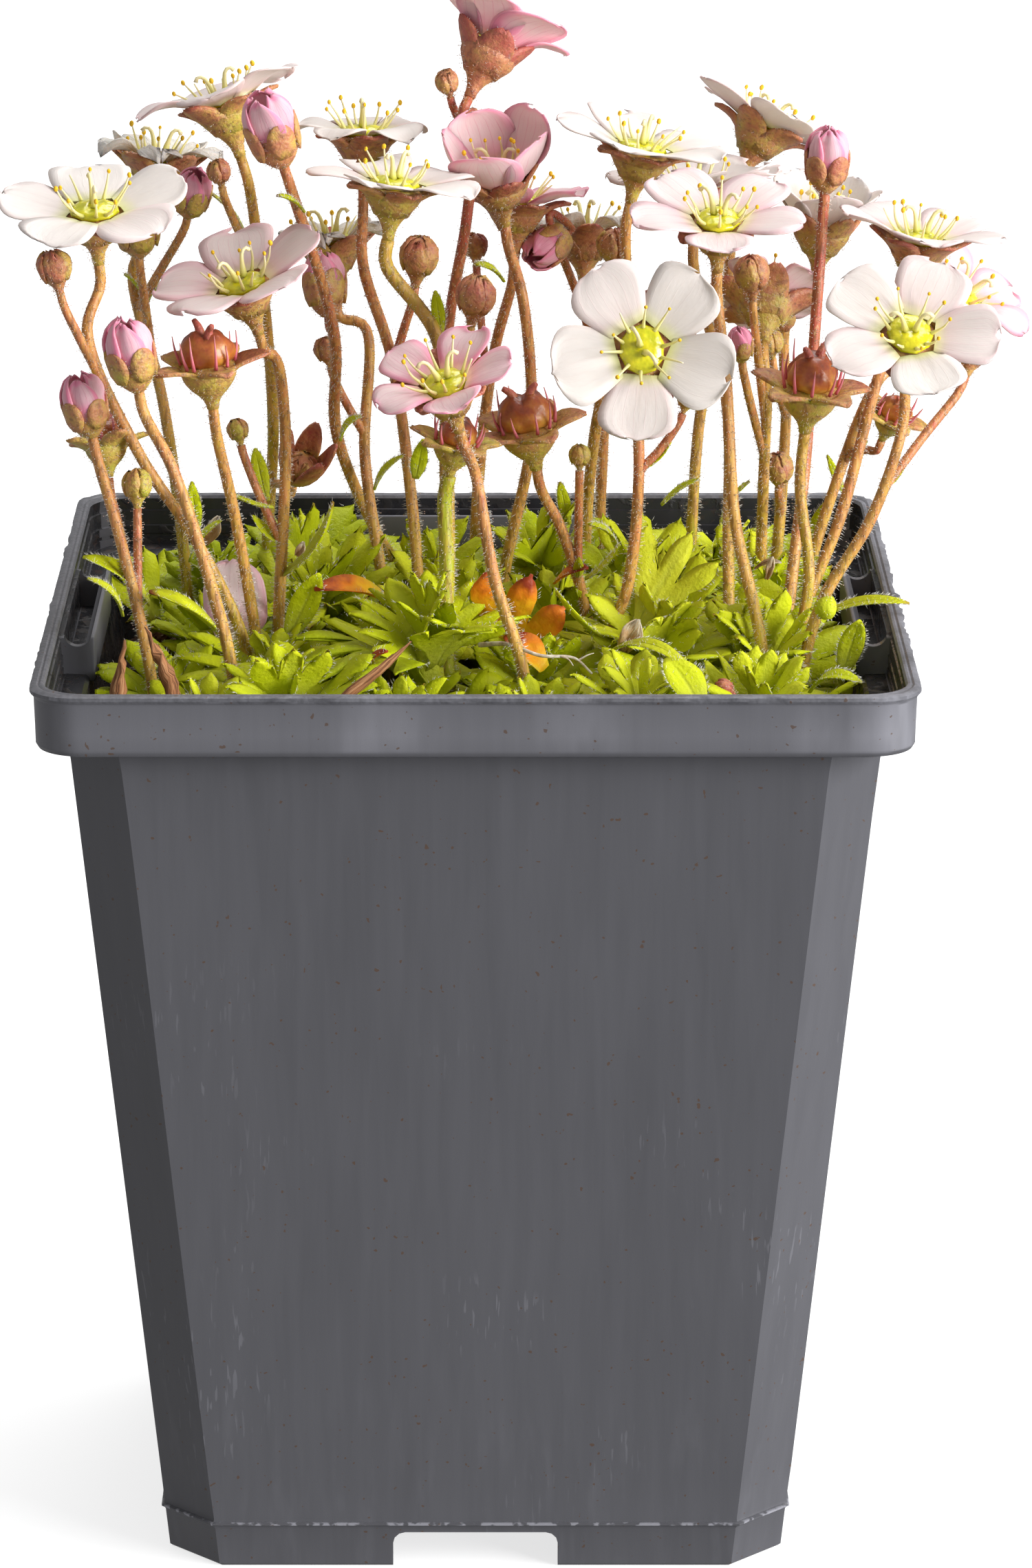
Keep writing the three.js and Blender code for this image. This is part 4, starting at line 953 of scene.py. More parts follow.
def petal_surface(blade, stalk, droop, random):
    """The surface of one petal, from its claw beside the nectary out to its rim."""
    petal = stalk["petal"]
    cup = math.radians(stalk.get("cup", 18))
    flare = math.radians(stalk.get("flare", 5) + droop)
    deep = stalk.get("cup", 18) > 45
    waist = np.array([PETAL_ROOT + 0.5 * petal * math.cos(cup), PETAL_SEAT + 0.5 * petal * math.sin(cup)])
    root = np.array([1.5, 0.0])
    tip = waist + 0.53 * petal * np.array([math.cos(flare), math.sin(flare)])
    pull = 2 * waist - 0.5 * (root + tip)
    width = petal * random.uniform(0.55, 0.62) * (1.1 if deep else 1.0)
    dish = 0.8 if deep else random.uniform(-0.04, 0.14)
    ruffle = random.uniform(0.5, 0.95)
    phase = random.uniform(0, math.tau)
    notch = 0.0 if deep else random.choice([0, 0.03, 0.06, -0.03])
    lean = random.uniform(-0.5, 0.5)
    twist = random.uniform(-0.16, 0.16)
    crumple = 1.0 if stalk.get("withered") else 0.0

    def surface(across, along):
        share = 1 - np.clip(1 - along, 1e-4, None) ** 1.45
        share = share * (1 - notch * np.exp(-(across / 0.3) ** 2) * share + 0.025 * np.sin(phase + across * 4.7))
        keep, middle, go = (1 - share) ** 2, 2 * share * (1 - share), share ** 2
        out = keep * root[0] + middle * pull[0] + go * tip[0]
        height = keep * root[1] + middle * pull[1] + go * tip[1]
        half = width * petal_half_width(share)
        side = half * across * (1 + 0.05 * np.sin(phase * 3 + share * 9) * share)
        if deep:
            out = out - dish * side ** 2 / np.maximum(2 * out, 2.4)
        else:
            height = height + dish * width * across ** 2 * ease(share * 1.4)
        wave = np.sin(phase + across * 3.1 + share * 4) * 0.42 + np.sin(phase * 2 + across * 6.2 - share * 2.5) * 0.17
        height = height + ruffle * wave * share ** 1.5 * np.abs(across) ** 1.1 + twist * side * share
        if deep:
            out = out + 0.55 * ruffle * wave * share ** 1.5 * np.abs(across)
        height = height + 0.11 * np.sin(phase + across * 7.5) * share * (1.1 - share)
        height = height - 0.16 * np.exp(-(across / 0.16) ** 2) * (1 - share)
        height = height + crumple * 0.75 * share * np.sin(phase * 2 + across * 5.5 + share * 3)
        side = side * (1 - crumple * 0.25 * share) + lean * share ** 2
        return blade.points(side, out, height)

    return surface


def add_petals(growth, forms, base, stalk, random, thickness):
    for index in range(5):
        turn = math.radians(72 * index)
        droop = random.uniform(-9, 9)
        blade = Blade(base.head, base.out(turn), base.facing)
        surface = petal_surface(blade, stalk, droop, random)
        lift = base.facing * (0.12 * (index % 2) + 0.04 * index)
        if stalk.get("cup", 18) > 45:
            lift = base.out(turn) * 0.3 * (index % 2 + 0.2 * index)
        points = bend_slab(forms["petal"], surface, thickness) + lift
        finish = "withered" if stalk.get("withered") else "petal"
        blush = min(1.0, max(0.0, stalk.get("blush", 0.15) + random.uniform(-0.08, 0.08)))
        growth.add(forms["petal"], points, finish, slab_places(forms["petal"], random.random()), blush)


def sepal_surface(base, turn, route, width, point=2.6):
    """A sepal that leaves the cup at its root, bends at its knee and ends at its tip, each as (out, height)."""
    root, knee, tip = np.array(route, float)
    pull = 2 * knee - 0.5 * (root + tip)
    blade = Blade(base.head, base.out(turn), base.facing)

    def surface(across, along):
        share = 1 - np.clip(1 - along, 1e-4, None) ** 1.35
        keep, middle, go = (1 - share) ** 2, 2 * share * (1 - share), share ** 2
        out = keep * root[0] + middle * pull[0] + go * tip[0]
        height = keep * root[1] + middle * pull[1] + go * tip[1]
        oval = 0.7 + 0.3 * np.sin(np.clip(share / 0.4, 0, 1) * math.pi / 2)
        oval = oval * np.clip(1.01 - (np.clip(share - 0.4, 0, None) / 0.61) ** point, 0.01, 1) ** 0.7
        side = width * oval * across
        round_cup = side ** 2 / (2 * np.maximum(out, 1.2)) * (1 - 0.3 * share)
        return blade.points(side, out - round_cup, height + 0.1 * width * across ** 2)

    return surface


def add_sepals(growth, forms, base, random, ripe, route, width, size=1.0, turn=36, hairs=34):
    for index in range(5):
        angle = math.radians(72 * index + turn + random.uniform(-5, 5))
        bend = np.array(route, float) * size
        bend[2] += (random.uniform(-0.3, 0.3), random.uniform(-0.35, 0.35))
        surface = sepal_surface(base, angle, bend, width * size * random.uniform(0.92, 1.06))
        redder = ripe + 0.3 * forms["sepal"].points[:, 1] + random.uniform(-0.12, 0.12)
        growth.add(forms["sepal"], bend_slab(forms["sepal"], surface, 0.42), "calyx",
                   slab_places(forms["sepal"], random.random()), redder)
        add_blade_hairs(growth, forms, surface, random, hairs, 0.28, 0.7)


def add_blade_hairs(growth, forms, surface, random, count, length, ripe, edge_share=0.6, margins=(-1, 1)):
    """Hairs on the margins and the faces of a blade."""
    edge = random.choices([True, False], [edge_share, 1 - edge_share], k=count)
    across = np.array([float(random.choice(margins)) if on_edge else random.uniform(-0.85, 0.85) for on_edge in edge])
    along = np.array([random.uniform(0.08, 0.99) for _ in edge])
    roots = surface(across, along)
    normals = surface_normals(surface, across, along)
    face = np.where(np.array([random.random() for _ in edge]) < 0.62, 1.0, -1.0)
    away = roots - surface(across * 0.6, along - 0.05)
    leaning = np.where(np.array(edge)[:, None], unit(away) + normals * 0.25 * face[:, None], normals * face[:, None])
    jitter = np.array([[random.uniform(-0.3, 0.3) for _ in range(3)] for _ in edge])
    lengths = np.array([length * random.uniform(0.6, 1.3) for _ in edge])
    growth.hairs(forms["spike"], roots, leaning + jitter, lengths, 0.035, "hair", ripe)


def add_round_hairs(growth, forms, line, radii, random, per_mm, length, ripe, start=0.0):
    """Hairs all round a line of the given radii."""
    run = np.linalg.norm(np.diff(line, axis=0), axis=1).sum() * (1 - start)
    count = int(run * per_mm)
    if count < 1:
        return
    share = start + (1 - start) * np.array([random.random() ** 1.15 for _ in range(count)])
    turn = np.array([random.uniform(0, math.tau) for _ in range(count)])
    heading, asides, beyonds = carried_frames(line)
    around = along_line(asides, share) * np.cos(turn)[:, None] + along_line(beyonds, share) * np.sin(turn)[:, None]
    radius = np.interp(share, np.linspace(0, 1, len(radii)), radii)
    roots = along_line(line, share) + around * (radius * 0.93)[:, None]
    lean = np.array([random.gauss(0.0, 0.2) for _ in range(count)])
    sway = np.array([[random.uniform(-0.15, 0.15) for _ in range(3)] for _ in range(count)])
    directions = around + along_line(heading, share) * lean[:, None] + sway
    fade = 1.25 - 0.6 * share
    lengths = length * fade * np.array([random.uniform(0.4, 1.2) for _ in range(count)])
    growth.hairs(forms["spike"], roots, directions, lengths, 0.034, "hair", ripe)
    glands = np.array([random.random() < 0.12 for _ in range(count)])
    add_glands(growth, forms, (roots + unit(directions) * lengths[:, None])[glands], ripe)


def add_glands(growth, forms, places, ripe):
    """The drops at the ends of hairs."""
    count = len(places)
    if not count:
        return
    points = (places[:, None, :] + forms["gland"].points[None] * 0.055).reshape(-1, 3)
    grown = np.zeros((len(points), 3))
    grown[:, 1] = 1
    growth.add(Copies(forms["gland"], count), points, "hair", grown, ripe)


def add_stamens(growth, forms, base, random, rise):
    """Ten tapering filaments, most of them still with their anthers."""
    for index in range(10):
        turn = math.radians(36 * index + random.uniform(-7, 7))
        splay = math.radians(rise + random.uniform(-10, 10) + (8 if index % 2 else 0))
        length = random.uniform(2.7, 3.9)
        foot = base.at(turn, 1.95, 0.6)
        out = base.out(turn)
        way = out * math.cos(splay) + base.facing * math.sin(splay)
        bend = random.uniform(-0.2, 0.45)
        line = smooth_route([foot, foot + way * length * 0.5 + out * bend, foot + way * length], 0.4)
        radii = np.interp(np.linspace(0, 1, len(line)), (0, 0.3, 0.75, 1), (0.27, 0.17, 0.11, 0.08))
        growth.add(forms["thread"], bend_rod(forms["thread"], line, radii), "filament", rod_places(forms["thread"], 0.5))
        if random.random() < 0.86:
            spread = np.array([0.22, 0.22, 0.3]) * random.uniform(0.8, 1.15)
            points = line[-1] + np.stack([base.aside, base.beyond, base.facing]).T.dot((forms["ball"].points * spread).T).T
            growth.add(forms["ball"], points, "anther")


def add_styles(growth, forms, base, random, finish="filament", reach=2.7, curl=1.0):
    """Two styles that part and curl outwards at their tips."""
    turn = random.uniform(0, math.tau)
    for side in (0, math.pi):
        out = base.out(turn + side)
        foot = base.head + out * 0.5 + base.facing * 1.2
        route = [foot, foot + base.facing * reach * 0.5 + out * 0.3, foot + base.facing * reach * 0.92 + out * 0.75,
                 foot + base.facing * reach + out * (0.75 + 0.55 * curl),
                 foot + base.facing * (reach - 0.45 * curl) + out * (0.9 + 0.75 * curl)]
        line = smooth_route(route, 0.3)
        radii = np.interp(np.linspace(0, 1, len(line)), (0, 0.4, 0.85, 1), (0.44, 0.24, 0.2, 0.27))
        growth.add(forms["thread"], bend_rod(forms["thread"], line, radii), finish, rod_places(forms["thread"], 0.5))


def calyx_hairs(growth, forms, base, profile, random, count, length, ripe=0.75):
    """Glandular hairs all over a turned calyx."""
    outline = smooth_route([(height, radius, 0) for height, radius in profile], 0.08)
    share = np.array([random.uniform(0.02, 0.8) for _ in range(count)])
    turn = np.array([random.uniform(0, math.tau) for _ in range(count)])
    height, radius, _ = along_line(outline, share).T
    roots = base.at(turn, radius, height)
    jitter = np.array([[random.uniform(-0.35, 0.35) for _ in range(3)] for _ in range(count)])
    directions = base.out(turn) - base.facing * 0.3 + jitter
    lengths = np.array([length * random.uniform(0.5, 1.2) for _ in range(count)])
    growth.hairs(forms["spike"], roots, directions, lengths, 0.036, "hair", ripe)
    add_glands(growth, forms, (roots + unit(directions) * lengths[:, None])[::3], ripe)


def open_head(growth, forms, base, stalk, random):
    ripe = 0.25 + 0.6 * stalk["ripe"]
    profile = [(-5.4, 0.62), (-4.6, 0.68), (-3.9, 0.88), (-3.2, 1.3), (-2.4, 1.95), (-1.6, 2.6), (-0.8, 3.05), (-0.2, 3.1),
               (0.15, 2.4), (0.25, 1.2), (0.3, 0)]
    growth.add(forms["turned"], turn_rod(forms["turned"], base, profile), "calyx", rod_places(forms["turned"], 0.4), ripe)
    calyx_hairs(growth, forms, base, profile, random, 170, 0.42)
    cup = math.radians(min(stalk.get("cup", 18), 66) - 1)
    knee = np.array([2.85 if cup > 0.8 else 3.3, -0.35])
    tip = knee + 2.7 * np.array([math.cos(cup), math.sin(cup)])
    add_sepals(growth, forms, base, random, ripe, [(1.7, -2.7), knee, tip], 1.95)

    def two_lobed(turn, share, radius, height):
        lobes = 1 + 0.06 * np.cos(2 * turn) + 0.03 * np.cos(10 * turn)
        return radius * lobes, height - 0.3 * np.exp(-(np.cos(turn) * radius / 0.5) ** 2) * share

    dome = [(0.1, 0.6), (0.3, 2.3), (0.65, 2.45), (1.05, 2.0), (1.3, 1.1), (1.35, 0)]
    growth.add(forms["turned"], turn_rod(forms["turned"], base, dome, two_lobed), "nectary")
    deep = stalk.get("cup", 18) > 45
    add_stamens(growth, forms, base, random, 72 if deep else 50)
    add_styles(growth, forms, base, random)


def hugging_surface(base, profile, turn, half_turn, low, high, lift, slant=0.0, crease=0.0):
    """A blade wrapped on a turned body between two heights, creased along its length."""
    heights = np.array([height for height, _ in profile])
    radii = np.array([radius for _, radius in profile])
    phase = turn * 7.3

    def surface(across, along):
        share = 1 - np.clip(1 - along, 1e-4, None) ** 1.35
        oval = 0.5 + 0.5 * np.sin(np.clip(share / 0.4, 0, 1) * math.pi / 2)
        oval = oval * np.sqrt(np.clip(1 - (np.clip(share - 0.38, 0, None) / 0.63) ** 2.2, 0.01, 1))
        height = low + (high - low) * share
        radius = np.interp(height, heights, radii) + lift + slant * across * ease(share * 3)
        radius = radius + crease * np.sin(across * 5.2 + phase + share * 1.5) * ease(share * 2)
        height = height + crease * 1.6 * np.sin(across * 4.1 + phase * 2) * share
        angle = turn + half_turn * oval * across
        return base.at(angle, np.maximum(radius, 0.12), height)

    return surface


def bud_head(growth, forms, base, size, random, ripe, blush=0.75, opening=1.0):
    """Furled petals in a calyx of blunt sepals."""
    body = [(-3.4, 0.65), (-2.6, 1.45), (-1.6, 1.95), (0.4, 2.2), (2.0, 2.1), (3.1, 1.6), (3.75, 0.8), (4.0, 0.3)]
    body = [(height * size, radius * size) for height, radius in body]
    cup = body[:4] + [(0.9 * size, 1.2 * size), (1.0 * size, 0)]
    growth.add(forms["turned"], turn_rod(forms["turned"], base, cup), "calyx", rod_places(forms["turned"], 0.4), ripe)
    calyx_hairs(growth, forms, base, cup, random, int(150 * size), 0.36)
    low, high = -0.9 * size, 4.0 * size
    for index in range(5):
        turn = math.radians(72 * index + random.uniform(-6, 6))
        top = high * random.uniform(0.86, 1.04)
        surface = hugging_surface(base, body, turn, 0.92, low, top, 0.04, 0.24 * size, 0.1 * size)
        places = slab_places(forms["petal"], random.random())
        growth.add(forms["petal"], bend_slab(forms["petal"], surface, 0.18), "petal", places,
                   blush + random.uniform(-0.1, 0.1))
    for index in range(5):
        turn = math.radians(72 * index + 36 + random.uniform(-5, 5))
        top = (1.35 * opening + 2.9 * (1 - opening)) * size * random.uniform(0.85, 1.1)
        surface = hugging_surface(base, body, turn, 0.6, -2.0 * size, top, 0.24 * size)
        growth.add(forms["sepal"], bend_slab(forms["sepal"], surface, 0.3), "calyx",
                   slab_places(forms["sepal"], random.random()), ripe + random.uniform(-0.15, 0.15))
        add_blade_hairs(growth, forms, surface, random, 26, 0.3, 0.75, 0.4)


def ball_head(growth, forms, base, size, random, ripe):
    """A closed bud, wrinkled where its sepals fold over its top."""
    profile = [(-3.5, 0.42), (-2.7, 0.6), (-2.1, 0.9), (-1.3, 1.5), (-0.3, 1.95), (0.8, 2.0), (1.7, 1.6), (2.3, 0.9), (2.5, 0.1)]
    profile = [(height * size, radius * size) for height, radius in profile]
    phase = random.uniform(0, math.tau)

    def wrinkled(turn, share, radius, height):
        folds = 0.15 * np.sin(5 * turn + phase + 2.5 * share) * ease(share * 2 - 0.4)
        small = 0.07 * np.sin(9 * turn + 17 * share + phase) * np.sin(19 * share + 3 * turn)
        return radius * (1 + folds + small), height

    points = turn_rod(forms["turned"], base, profile, wrinkled)
    growth.add(forms["turned"], points, "calyx", rod_places(forms["turned"], 0.6), ripe)
    calyx_hairs(growth, forms, base, profile, random, int(210 * size), 0.34)
    for index in range(5):
        turn = math.radians(72 * index + random.uniform(-8, 8))
        top = 2.5 * size * random.uniform(0.85, 1.1)
        surface = hugging_surface(base, profile, turn, 0.66, -1.4 * size, top, 0.1 * size, 0.1 * size, 0.12 * size)
        growth.add(forms["sepal"], bend_slab(forms["sepal"], surface, 0.26), "calyx",
                   slab_places(forms["sepal"], random.random()), ripe + random.uniform(-0.2, 0.2))


def spent_head(growth, forms, base, size, random, ripe):
    """An open calyx round a swollen capsule with two beaks and its spent styles."""
    cup = [(-5, 0.66), (-4.3, 0.8), (-3.6, 1.2), (-2.7, 2.1), (-1.7, 2.8), (-0.6, 3.1), (0.1, 2.7), (0.2, 1.2), (0.25, 0)]
    cup = [(height * size, radius * size) for height, radius in cup]
    growth.add(forms["turned"], turn_rod(forms["turned"], base, cup), "calyx", rod_places(forms["turned"], 0.3), ripe)
    calyx_hairs(growth, forms, base, cup, random, int(190 * size), 0.4)
    add_sepals(growth, forms, base, random, ripe, [(2.3, -1.5), (3.8, -0.1), (6.5, 0.3)], 1.95, size, 36, 44)
    dome = [(-0.2, 1.2), (0.4, 2.55), (1.3, 2.8), (2.3, 2.55), (3.2, 1.9), (3.8, 1.1), (4.0, 0)]
    dome = [(height * size, radius * size) for height, radius in dome]

    def two_lobed(turn, share, radius, height):
        lumps = 0.08 * np.cos(2 * turn) + 0.06 * np.cos(10 * turn) * (1 - share) + 0.12 * np.sin(5 * turn + 11 * share) * share
        return radius * (1 + lumps), height - 0.7 * size * np.exp(-(np.cos(turn) * radius / 0.6) ** 2) * share

    places = rod_places(forms["turned"], 0.5)
    growth.add(forms["turned"], turn_rod(forms["turned"], base, dome, two_lobed), "capsule", places)
    add_beaks(growth, forms, base, random, size)
    for index in range(10):
        turn = math.radians(36 * index + random.uniform(-9, 9))
        foot = base.at(turn, 2.95 * size, 0.1)
        tip = foot + base.facing * random.uniform(2.4, 4.1) * size + base.out(turn) * random.uniform(-0.2, 0.8)
        line = smooth_route([foot, (foot + tip) / 2 + base.out(turn) * 0.15, tip], 0.4)
        radii = np.linspace(0.21, 0.05, len(line))
        growth.add(forms["thread"], bend_rod(forms["thread"], line, radii), "style", rod_places(forms["thread"], 0.5))


def add_beaks(growth, forms, base, random, size):
    """The two withered styles on a capsule."""
    turn = random.uniform(0, math.tau)
    for side in (0, math.pi):
        out = base.out(turn + side)
        foot = base.head + (out * 0.9 + base.facing * 2.6) * size
        route = [foot, foot + (base.facing * 1.3 + out * 0.1) * size, foot + (base.facing * 2.1 + out * 0.9) * size]
        line = smooth_route(route, 0.3)
        radii = np.interp(np.linspace(0, 1, len(line)), (0, 0.5, 1), (0.85, 0.5, 0.3)) * size
        growth.add(forms["thread"], bend_rod(forms["thread"], line, radii), "calyx", rod_places(forms["thread"], 0.5), 1.1)


def wilted_head(growth, forms, base, size, random, ripe):
    """A head that hangs with long limp sepals."""
    ball_head(growth, forms, base, size * 0.8, random, ripe)
    add_sepals(growth, forms, base, random, ripe, [(1.0, -1.6), (2.3, 0.8), (2.9, 4.6)], 1.4, size, 0)


SIDE_HEADS = {
    "ball": lambda growth, forms, base, size, random, ripe: ball_head(growth, forms, base, size, random, 0.75),
    "young": lambda growth, forms, base, size, random, ripe: ball_head(growth, forms, base, size, random, 0.45),
    "pink": lambda growth, forms, base, size, random, ripe: bud_head(
        growth, forms, base, size, random, ripe, 1.8, 0.7),
    "wilted": lambda growth, forms, base, size, random, ripe: wilted_head(growth, forms, base, size, random, 0.7),
    "spent": lambda growth, forms, base, size, random, ripe: spent_head(
        growth, forms, base, size * 0.62, random, 0.3),
}


# Stalks

def stem_ripeness(share, ripe):
    """Green at the foot of a stem, ripening to its own colour further up."""
    return ripe * (0.2 + 0.8 * ease(share * 1.35))


def add_stem(growth, forms, line, foot, tip, ripe, random, per_mm, hair, whole_ripe=False):
    share = np.linspace(0, 1, len(line))
    wobble = np.array([noise.noise(Vector(point) * 0.21) for point in line])
    radii = (foot + (tip - foot) * share) * (1 + 0.07 * wobble)
    form = forms["stem"] if len(line) > 30 else forms["shoot"]
    points = bend_rod(form, line, radii)
    level = form.points[:, 2]
    shade = np.full(len(points), ripe) if whole_ripe else stem_ripeness(level, ripe)
    growth.add(form, points, "stem", rod_places(form, random.random()), shade)
    above = np.argmax(line[:, 2] > CUSHION_TOP) / len(line)
    add_round_hairs(growth, forms, line, radii, random, per_mm, hair, 0.35 + 0.4 * ripe, above)


def add_bract(growth, forms, foot, outward, random):
    """The small leaf that a side stalk grows from."""
    tip = foot + outward * random.uniform(3.0, 4.0) + (0, 0, random.uniform(1.8, 3.4))
    surface = lance_surface(foot, tip, random.uniform(0.55, 0.85), -0.4)
    add_leaf(growth, forms, surface, random, random.uniform(0.4, 0.7), random.uniform(0, 0.6), form="lance", hairs=50)


def grow_stalk(index, stalk, forms, finishes, settings, random):
    """One stalk with its stem, side stalks, bracts and heads, and its ring of petals."""
    names = ("stem", "calyx", "leaf", "petal", "nectary", "filament", "anther", "capsule", "style", "hair")
    growth = Growth(names)
    thick = stalk.get("thick", STEM_RADIUS)
    facing = unit(stalk["facing"])
    head = np.array(stalk["head"], float)
    size = stalk.get("bud") or stalk.get("spent") or 1.0
    depth = (3.4 if "bud" in stalk else 5.0) * size if "petal" not in stalk else 5.4
    route = [(*stalk["foot"], STEM_FOOT), *stalk["route"], head - facing * (depth + HEAD_LEAD), head - facing * depth]
    line = smooth_route(route)
    hair = settings.hair / MM
    add_stem(growth, forms, line, thick * 1.1, thick * 0.94, stalk["ripe"], random, settings.hairs_per_mm, hair)
    _, asides, _ = carried_frames(line)
    base = HeadFrame(head, facing, asides[-1])
    ripe = 0.25 + 0.6 * stalk["ripe"]
    if "petal" in stalk:
        open_head(growth, forms, base, stalk, random)
    elif "bud" in stalk:
        bud_head(growth, forms, base, size, random, ripe, 1.3)
    else:
        spent_head(growth, forms, base, size, random, 0.3 + 0.3 * stalk["ripe"])
    for side in stalk.get("sides", []):
        grow_side(growth, forms, line, side, stalk, settings, random)
    label = f"{index + 1:02d}"
    growth.finish_piece(f"flower_stalk_{label}", finishes, "stalk", f"stalk_{label}")
    if "petal" in stalk:
        ring = Growth(("petal", "withered"))
        add_petals(ring, forms, base, stalk, random, settings.petal_thickness / MM)
        slot = "petal_pink" if stalk.get("blush", 0) > 0.6 else "petal_white"
        ring.finish_piece(f"petal_ring_{label}", finishes, slot, f"petals_{label}")


def grow_side(growth, forms, line, side, stalk, settings, random):
    """A side stalk with its bud, and the bract that it grows from."""
    start = along_line(line, np.array([side["at"]]))[0]
    head = np.array(side["to"], float)
    away = head - start
    size = side["size"]
    nods = side.get("nod")
    facing = unit(unit(away) + np.array([0, 0, -1.0 if nods else 0.8]))
    middle = start + away * 0.45 + np.array([0, 0, 2.0 if nods else -1.0])
    over = [head + np.array([0, 0, 4.0 * size])] if nods else []
    foot = head - facing * 3.2 * size
    shoot = smooth_route([start, middle, *over, foot - facing * HEAD_LEAD * size * 0.6, foot], 0.7)
    ripe = min(1.0, stalk["ripe"] + 0.15)
    add_stem(growth, forms, shoot, 0.5, 0.45, ripe, random, settings.hairs_per_mm * 0.9, settings.hair / MM * 0.6, True)
    _, asides, _ = carried_frames(shoot)
    base = HeadFrame(head, facing, asides[-1])
    SIDE_HEADS[side["look"]](growth, forms, base, size, random, 0.25 + 0.6 * stalk["ripe"])
    if side.get("bract"):
        add_bract(growth, forms, start, unit(away * (1, 1, 0)), random)


# Leaves

NOTCH_PLACE = 4 / 9
NOTCH_REACH = 0.56
SPLAY = math.radians(38)


def lobe_places(across, lobes):
    """The middle of the lobe that a place across a leaf lies in, and how far aside of it from -1 to 1."""
    step = 2 / lobes
    number = np.clip(np.floor((across + 1) / step + 1e-6), 0, lobes - 1)
    centre = -1 + step * (number + 0.5)
    return centre, np.clip((across - centre) / (step / 2), -1, 1)


def leaf_surface(blade, length, width, rise, droop, fold, lobes=3, curl=0.4):
    """A wedge-shaped leaf on a flat stalk, its end cut into blunt lobes."""

    def surface(across, along):
        centre, aside = lobe_places(across, lobes)
        wedge = np.clip(along / NOTCH_PLACE, 0, 1)
        spread = 0.2 + 0.8 * ease((wedge - 0.2) / 0.8)
        between = (np.abs(aside) > 0.97) & (np.abs(across) < 0.97)
        lobe = np.clip((along - NOTCH_PLACE) / (1 - NOTCH_PLACE), 0, 1) * np.where(between, 0.05, 1.0)
        lobe = 1 - (1 - lobe) ** 1.6
        opened = ease(lobe * 3)
        wide = np.clip(aside / 0.62, -1, 1)
        tilt = SPLAY * centre * opened
        bulge = 0.9 + 0.3 * np.sin(lobe ** 1.15 * math.pi)
        blunt = np.sqrt(np.clip(1 - 0.97 * lobe ** 3, 0.003, 1))
        half = width / lobes * bulge * blunt * (aside * (1 - opened) + wide * opened)
        run = 0.47 * length * (1 - 0.2 * np.abs(centre)) * (lobe - 0.12 * wide ** 2 * lobe ** 3)
        side = width * centre + half * spread * np.cos(tilt) + run * np.sin(SPLAY * centre)
        side = np.where(wedge < 1, width * spread * across, side)
        forward = NOTCH_REACH * length * wedge - 0.3 * width * (centre * wedge) ** 2
        forward = forward + run * np.cos(SPLAY * centre) - half * np.sin(tilt)
        share = forward / length
        slope = math.radians(rise) - math.radians(droop) * share
        out = forward * np.cos(slope)
        height = forward * np.sin(slope)
        ridge = (1 - wide ** 2) * ease(wedge * 2 - 1) * 0.12 - curl * lobe ** 2
        height = height + ridge + fold * width * (np.abs(side) / width) ** 1.5
        return blade.points(side, out, height)

    return surface


def lance_surface(root, tip, width, arch, fold=0.3, belly=0.5):
    """A narrow leaf from its root to its tip, arched on the way and folded along its middle."""
    run = np.subtract(tip, root)
    length = np.linalg.norm(run)
    blade = Blade(root, run, (0, -0.35, 1) if abs(run[2]) < 0.85 * length else (0, -1, 0))

    def surface(across, along):
        share = np.clip(along, 0, None)
        oval = 0.45 + 0.55 * np.sin(np.clip(share / belly, 0, 1) * math.pi / 2) ** 1.4
        oval = oval * np.clip(1.015 - np.clip((share - belly) / (1.02 - belly), 0, None) ** 1.9, 0.01, 1) ** 0.75
        height = arch * 4 * share * (1 - share) + fold * width * oval * np.abs(across) ** 1.4
        return blade.points(width * oval * across, length * share, height)

    return surface


LOBE_MARGINS = (-1, -0.39, -0.27, 0.27, 0.39, 1)


def add_leaf(growth, forms, surface, random, tone, ripe, finish="leaf", hairs=60, form="leaf", thickness=0.34):
    points = bend_slab(forms[form], surface, thickness, 1 if form == "lance" else 3)
    growth.add(forms[form], points, finish, slab_places(forms[form], tone), ripe)
    margins = (-1, 1) if form == "lance" else LOBE_MARGINS
    add_blade_hairs(growth, forms, surface, random, hairs, 0.52, 0.1, 0.75, margins)


POT_ROOM = 39.0
OVERHANG = 4.0


def raised_clear(x, y, rise, droop, length, azimuth, ground):
    """A leaf's rise, raised until its tip stays near its own patch and inside the pot."""
    low_x, low_y, high_x, high_y = (np.clip(edge + reach, -POT_ROOM, POT_ROOM)
                                    for edge, reach in zip(ground, (-OVERHANG, -OVERHANG, OVERHANG, OVERHANG)))
    while rise < 80:
        reach = length * math.cos(math.radians(rise - droop))
        tip_x, tip_y = x + reach * math.cos(azimuth), y + reach * math.sin(azimuth)
        if low_x < tip_x < high_x and low_y < tip_y < high_y:
            break
        rise += 4
    return rise


def kept_in_pot(points):
    """The points of leaves, held inside the wall of the pot and clear of its lugs."""
    x, y, z = points.T
    room = np.where(z < LUG_TOP + 0.2, 39.7, np.where(z < POT_HEIGHT, 42.9, 60.0))
    return np.stack([np.clip(x, -room, room), np.clip(y, -room, room), z], axis=1)


